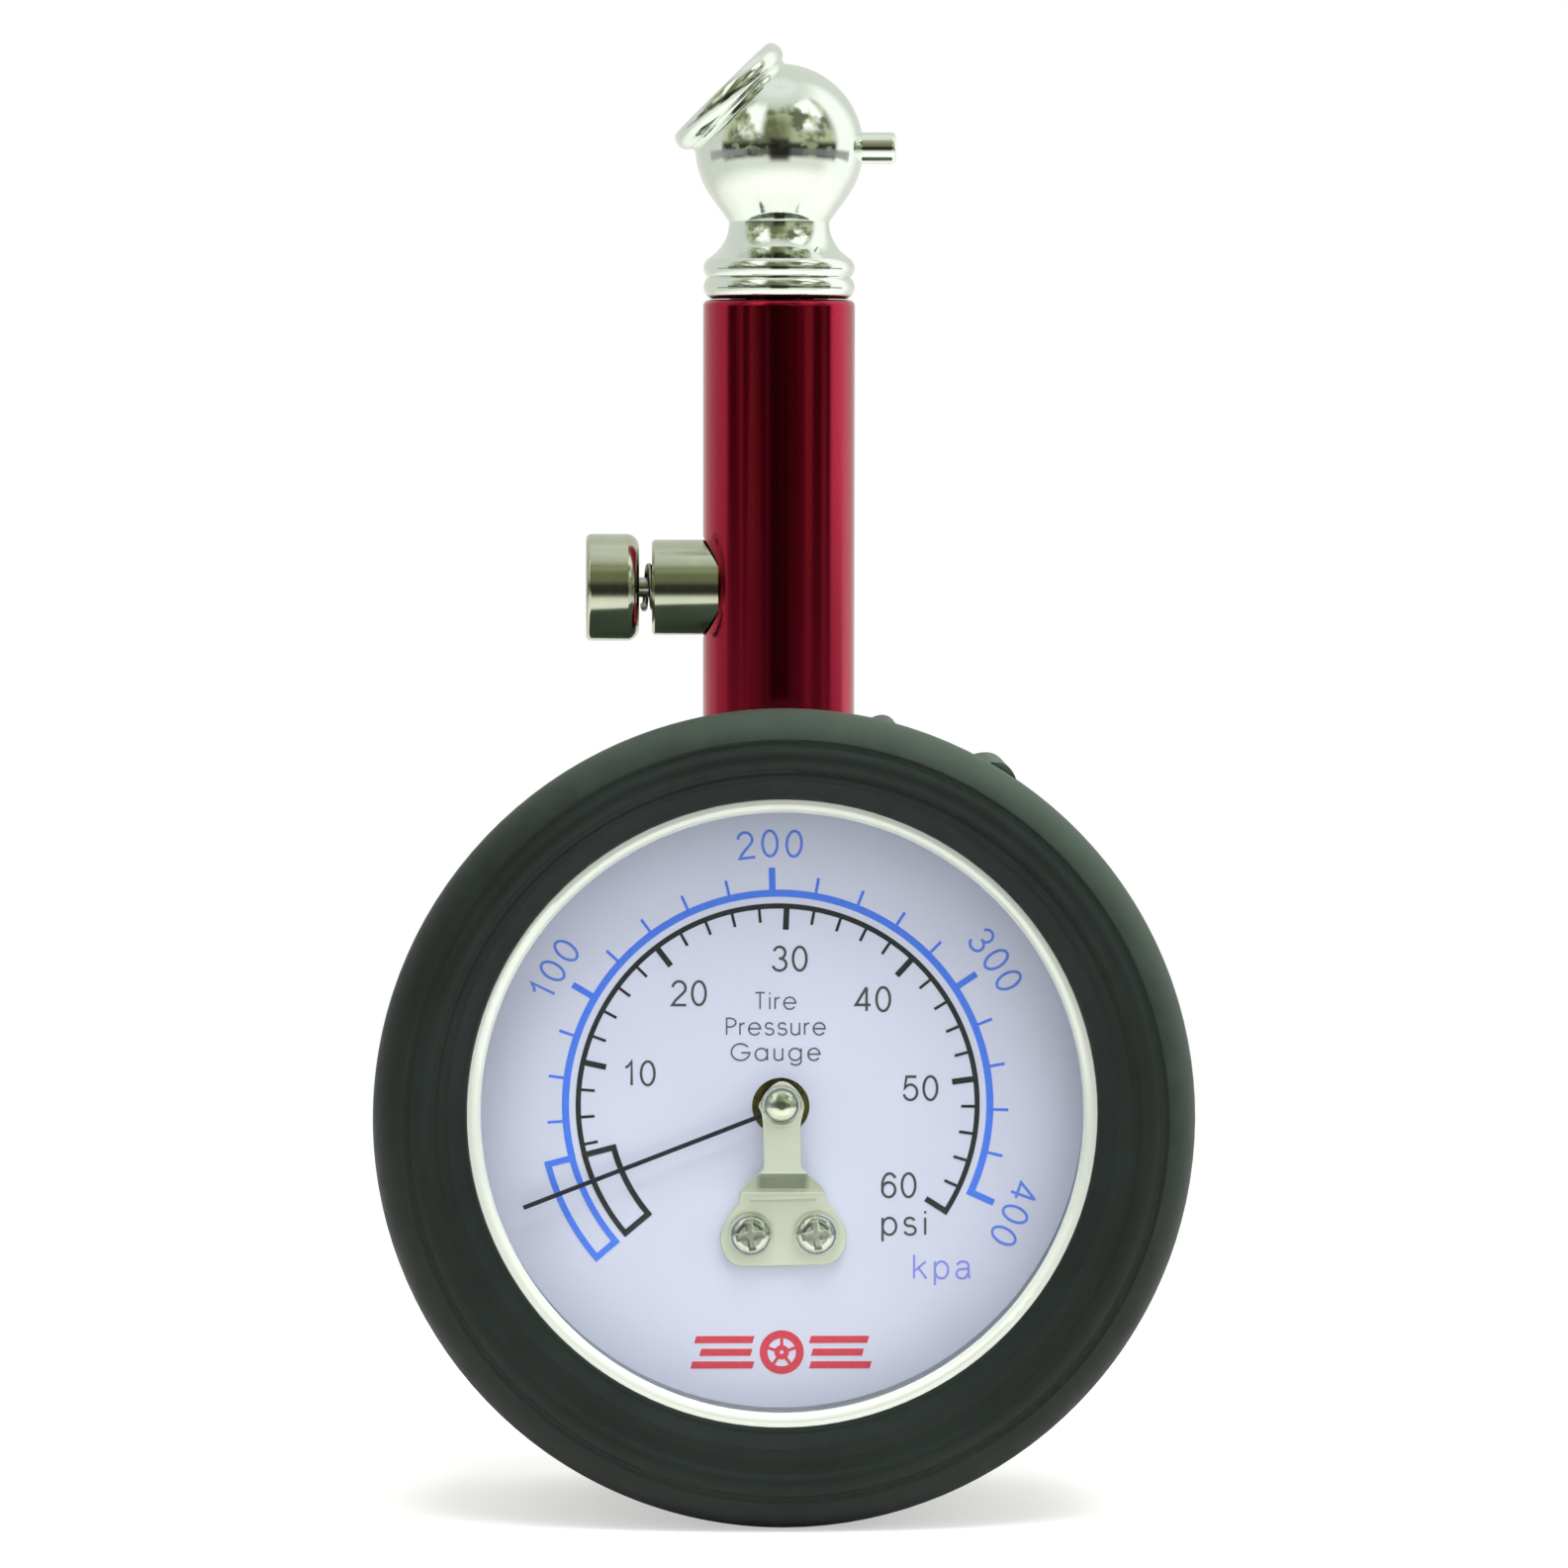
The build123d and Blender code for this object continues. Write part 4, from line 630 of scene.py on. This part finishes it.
# ---------------------------------------------------------------- world
def world():
    w = bpy.data.worlds.new("studio")
    bpy.context.scene.world = w
    w.use_nodes = True
    t = w.node_tree
    n, l = t.nodes, t.links
    n.clear()
    out = n.new("ShaderNodeOutputWorld")
    tc = n.new("ShaderNodeTexCoord")
    vec = tc.outputs["Generated"]

    def mathn(op, a, b=None, c=None, clamp=False):
        m = n.new("ShaderNodeMath"); m.operation = op; m.use_clamp = clamp
        for i, v in enumerate((a, b, c)):
            if v is None:
                continue
            if isinstance(v, (int, float)):
                m.inputs[i].default_value = v
            else:
                l.new(v, m.inputs[i])
        return m.outputs[0]

    def mixc(f, a, b):
        m = n.new("ShaderNodeMix"); m.data_type = "RGBA"
        for key, v in ((0, f), (6, a), (7, b)):
            if isinstance(v, (int, float)):
                m.inputs[key].default_value = v
            elif isinstance(v, tuple):
                m.inputs[key].default_value = v if len(v) == 4 else (*v, 1)
            else:
                l.new(v, m.inputs[key])
        return m.outputs[2]

    def smooth(v, a, b):
        m = n.new("ShaderNodeMapRange"); m.interpolation_type = "SMOOTHSTEP"
        m.inputs["From Min"].default_value = a; m.inputs["From Max"].default_value = b
        l.new(v, m.inputs["Value"])
        return m.outputs["Result"]

    sep = n.new("ShaderNodeSeparateXYZ"); l.new(vec, sep.inputs[0])
    X, Y, Z = sep.outputs
    az = mathn("ARCTAN2", X, mathn("MULTIPLY", Y, -1.0))       # 0 to the front, + to the right
    az = mathn("MULTIPLY", az, 180 / math.pi)
    el = mathn("MULTIPLY", mathn("ARCSINE", Z), 180 / math.pi)

    def patch(a0, a1, e0, e1, soft=4.0):
        """1 inside a window of azimuth and elevation, in degrees."""
        p = mathn("MULTIPLY", smooth(az, a0 - soft, a0 + soft), mathn("SUBTRACT", 1.0, smooth(az, a1 - soft, a1 + soft)))
        q = mathn("MULTIPLY", smooth(el, e0 - soft, e0 + soft), mathn("SUBTRACT", 1.0, smooth(el, e1 - soft, e1 + soft)))
        return mathn("MULTIPLY", p, q)

    def tex(scale, detail, off=0.0):
        nz = n.new("ShaderNodeTexNoise"); nz.inputs["Scale"].default_value = scale; nz.inputs["Detail"].default_value = detail
        if off:
            mp = n.new("ShaderNodeMapping"); mp.inputs["Location"].default_value = (off, off * 0.7, -off)
            l.new(vec, mp.inputs["Vector"]); l.new(mp.outputs[0], nz.inputs["Vector"])
        else:
            l.new(vec, nz.inputs["Vector"])
        return nz.outputs["Fac"]

    c = mixc(smooth(Z, -0.12, 0.12), (0.80, 0.81, 0.75), (0.72, 0.75, 0.69))
    # the room ahead: olive and dark shapes, broken up by noise
    olive = mixc(smooth(tex(2.6, 2.0), 0.42, 0.62), (0.10, 0.11, 0.045), (0.46, 0.50, 0.30))
    dark = mixc(smooth(tex(4.0, 2.0, 3.0), 0.50, 0.66), (0.020, 0.020, 0.010), (0.30, 0.32, 0.18))
    torn = smooth(tex(2.3, 2.5, 7.0), 0.40, 0.53)
    def sweep():
        """Brightness round the room at table height, by azimuth, seen by the upright stem."""
        rmp = n.new("ShaderNodeValToRGB")
        rmp.color_ramp.interpolation = "EASE"
        e = rmp.color_ramp.elements
        e[0].position, e[1].position = 0.0, 1.0
        for i, (a, v) in enumerate(SWEEP):
            k = e[0] if i == 0 else e[-1] if i == len(SWEEP) - 1 else e.new((a + 180) / 360)
            k.color = (v, v, v, 1)
        off = mathn("MULTIPLY", mathn("SUBTRACT", tex(9.0, 2.0, 1.3), 0.5), 8.0)
        l.new(mathn("DIVIDE", mathn("ADD", mathn("ADD", az, 180.0), off), 360.0), rmp.inputs[0])
        return rmp.outputs["Color"]

    for args, col, amount in ROOM:
        f = mathn("MULTIPLY", patch(*args), abs(amount))
        if amount < 0:
            f = mathn("MULTIPLY", f, torn)
        c = mixc(f, c, {"olive": olive, "dark": dark, "sweep": sweep()}.get(col, col) if isinstance(col, str) else col)
    glossy = n.new("ShaderNodeBackground"); l.new(c, glossy.inputs["Color"]); glossy.inputs["Strength"].default_value = 1.0
    # even light for matt surfaces, a little stronger from above
    d = mixc(smooth(Z, -0.6, 0.9), (0.62, 0.62, 0.62), (1.05, 1.05, 1.03))
    diffuse = n.new("ShaderNodeBackground"); l.new(d, diffuse.inputs["Color"]); diffuse.inputs["Strength"].default_value = WORLD
    white = n.new("ShaderNodeBackground"); white.inputs["Color"].default_value = (1, 1, 1, 1)
    lp = n.new("ShaderNodeLightPath")
    m1 = n.new("ShaderNodeMixShader"); l.new(lp.outputs["Is Glossy Ray"], m1.inputs[0]); l.new(diffuse.outputs[0], m1.inputs[1]); l.new(glossy.outputs[0], m1.inputs[2])
    m2 = n.new("ShaderNodeMixShader"); l.new(lp.outputs["Is Camera Ray"], m2.inputs[0]); l.new(m1.outputs[0], m2.inputs[1]); l.new(white.outputs[0], m2.inputs[2])
    l.new(m2.outputs[0], out.inputs["Surface"])


WORLD = 1.04
# brightness round the room at table height: (azimuth, value)
SWEEP = [(-180, 0.60), (-118, 0.42), (-92, 0.32), (-76, 0.30), (-52, 0.28), (-47, 0.20), (-45, 0.07), (-42, 0.07), (-39, 0.14), (-17, 0.12), (-12, 0.09), (12, 0.08),
         (17, 0.12), (30, 0.14), (36, 0.20), (62, 0.20), (72, 0.26), (100, 0.30), (118, 0.45), (180, 0.60)]
# windows of azimuth and elevation (degrees, from the front) seen only in reflections; a negative amount is torn by noise
ROOM = [
    ((-150, -70, -40, 60, 18), (0.68, 0.70, 0.64), 0.85),   # left side, dimmer
    ((70, 130, -50, 60, 14), (1.1, 1.1, 1.06), 1.0),        # the bright side, right
    ((-84, 84, 0, 56, 10), "olive", 0.92),                  # the room above
    ((-70, -26, 14, 58, 8), (1.15, 1.15, 1.1), -1.0),       # white panels, left and right
    ((20, 74, 22, 62, 8), (1.2, 1.2, 1.15), -1.0),
    ((-20, 14, 8, 40, 12), (0.13, 0.14, 0.06), 0.80),        # the dark fan between them
    ((-86, 84, -13, 6, 4), "dark", 0.96),                   # things at table height
    ((-112, 112, -10, -2, 2), "sweep", 0.88),
    ((-15, 13, -19, 12, 5), (0.016, 0.016, 0.012), 0.90),   # the dark gap straight ahead
    ((-180, 180, 72, 90, 7), (0.84, 0.88, 0.83), 0.9),      # overhead
]
world()


def area(name, loc, look, size, power, color=(1, 1, 1), spread=math.pi, glossy=True):
    d = bpy.data.lights.new(name, "AREA")
    d.shape = "RECTANGLE"; d.size, d.size_y = size; d.energy = power; d.color = color; d.spread = spread
    o = bpy.data.objects.new(name, d)
    o.location = loc
    o.rotation_mode = "QUATERNION"
    o.rotation_quaternion = (Vector(look) - Vector(loc)).to_track_quat("-Z", "Y")
    o.visible_glossy = glossy
    bpy.context.scene.collection.objects.link(o)
    return o


area("key_top", (0.06, -0.26, 0.62), (0, -0.02, 0.0), (0.45, 0.35), 4.6, (1.0, 1.0, 0.97), glossy=False)
area("fill_right", (0.55, -0.30, 0.20), (0, -0.02, 0.02), (0.3, 0.5), 1.2, glossy=False)

# ---------------------------------------------------------------- camera
def camera():
    cx, cy, cz, pan, tilt, roll, f = -12.765, -564.0, 57.971, 0.024, 0.06038, 0.00128, 7027.7
    fwd = Vector((math.sin(pan) * math.cos(tilt), math.cos(pan) * math.cos(tilt), -math.sin(tilt)))
    right = Vector((math.cos(pan), -math.sin(pan), 0))
    up = right.cross(fwd)
    r2 = right * math.cos(roll) + up * math.sin(roll)
    u2 = up * math.cos(roll) - right * math.sin(roll)
    cd = bpy.data.cameras.new("camera")
    cd.sensor_width = 36.0
    cd.lens = f * 36.0 / 1585.0
    cd.clip_start, cd.clip_end = 0.01, 20
    o = bpy.data.objects.new("camera", cd)
    m = Matrix((r2, u2, -fwd)).transposed().to_4x4()
    m.translation = Vector((cx, cy, cz)) * MM
    o.matrix_world = m
    bpy.context.scene.collection.objects.link(o)
    bpy.context.scene.camera = o


camera()
sc = bpy.context.scene
sc.view_settings.view_transform = "Standard"
sc.view_settings.look = "None"
sc.view_settings.exposure = 0.0
sc.view_settings.gamma = 1.0
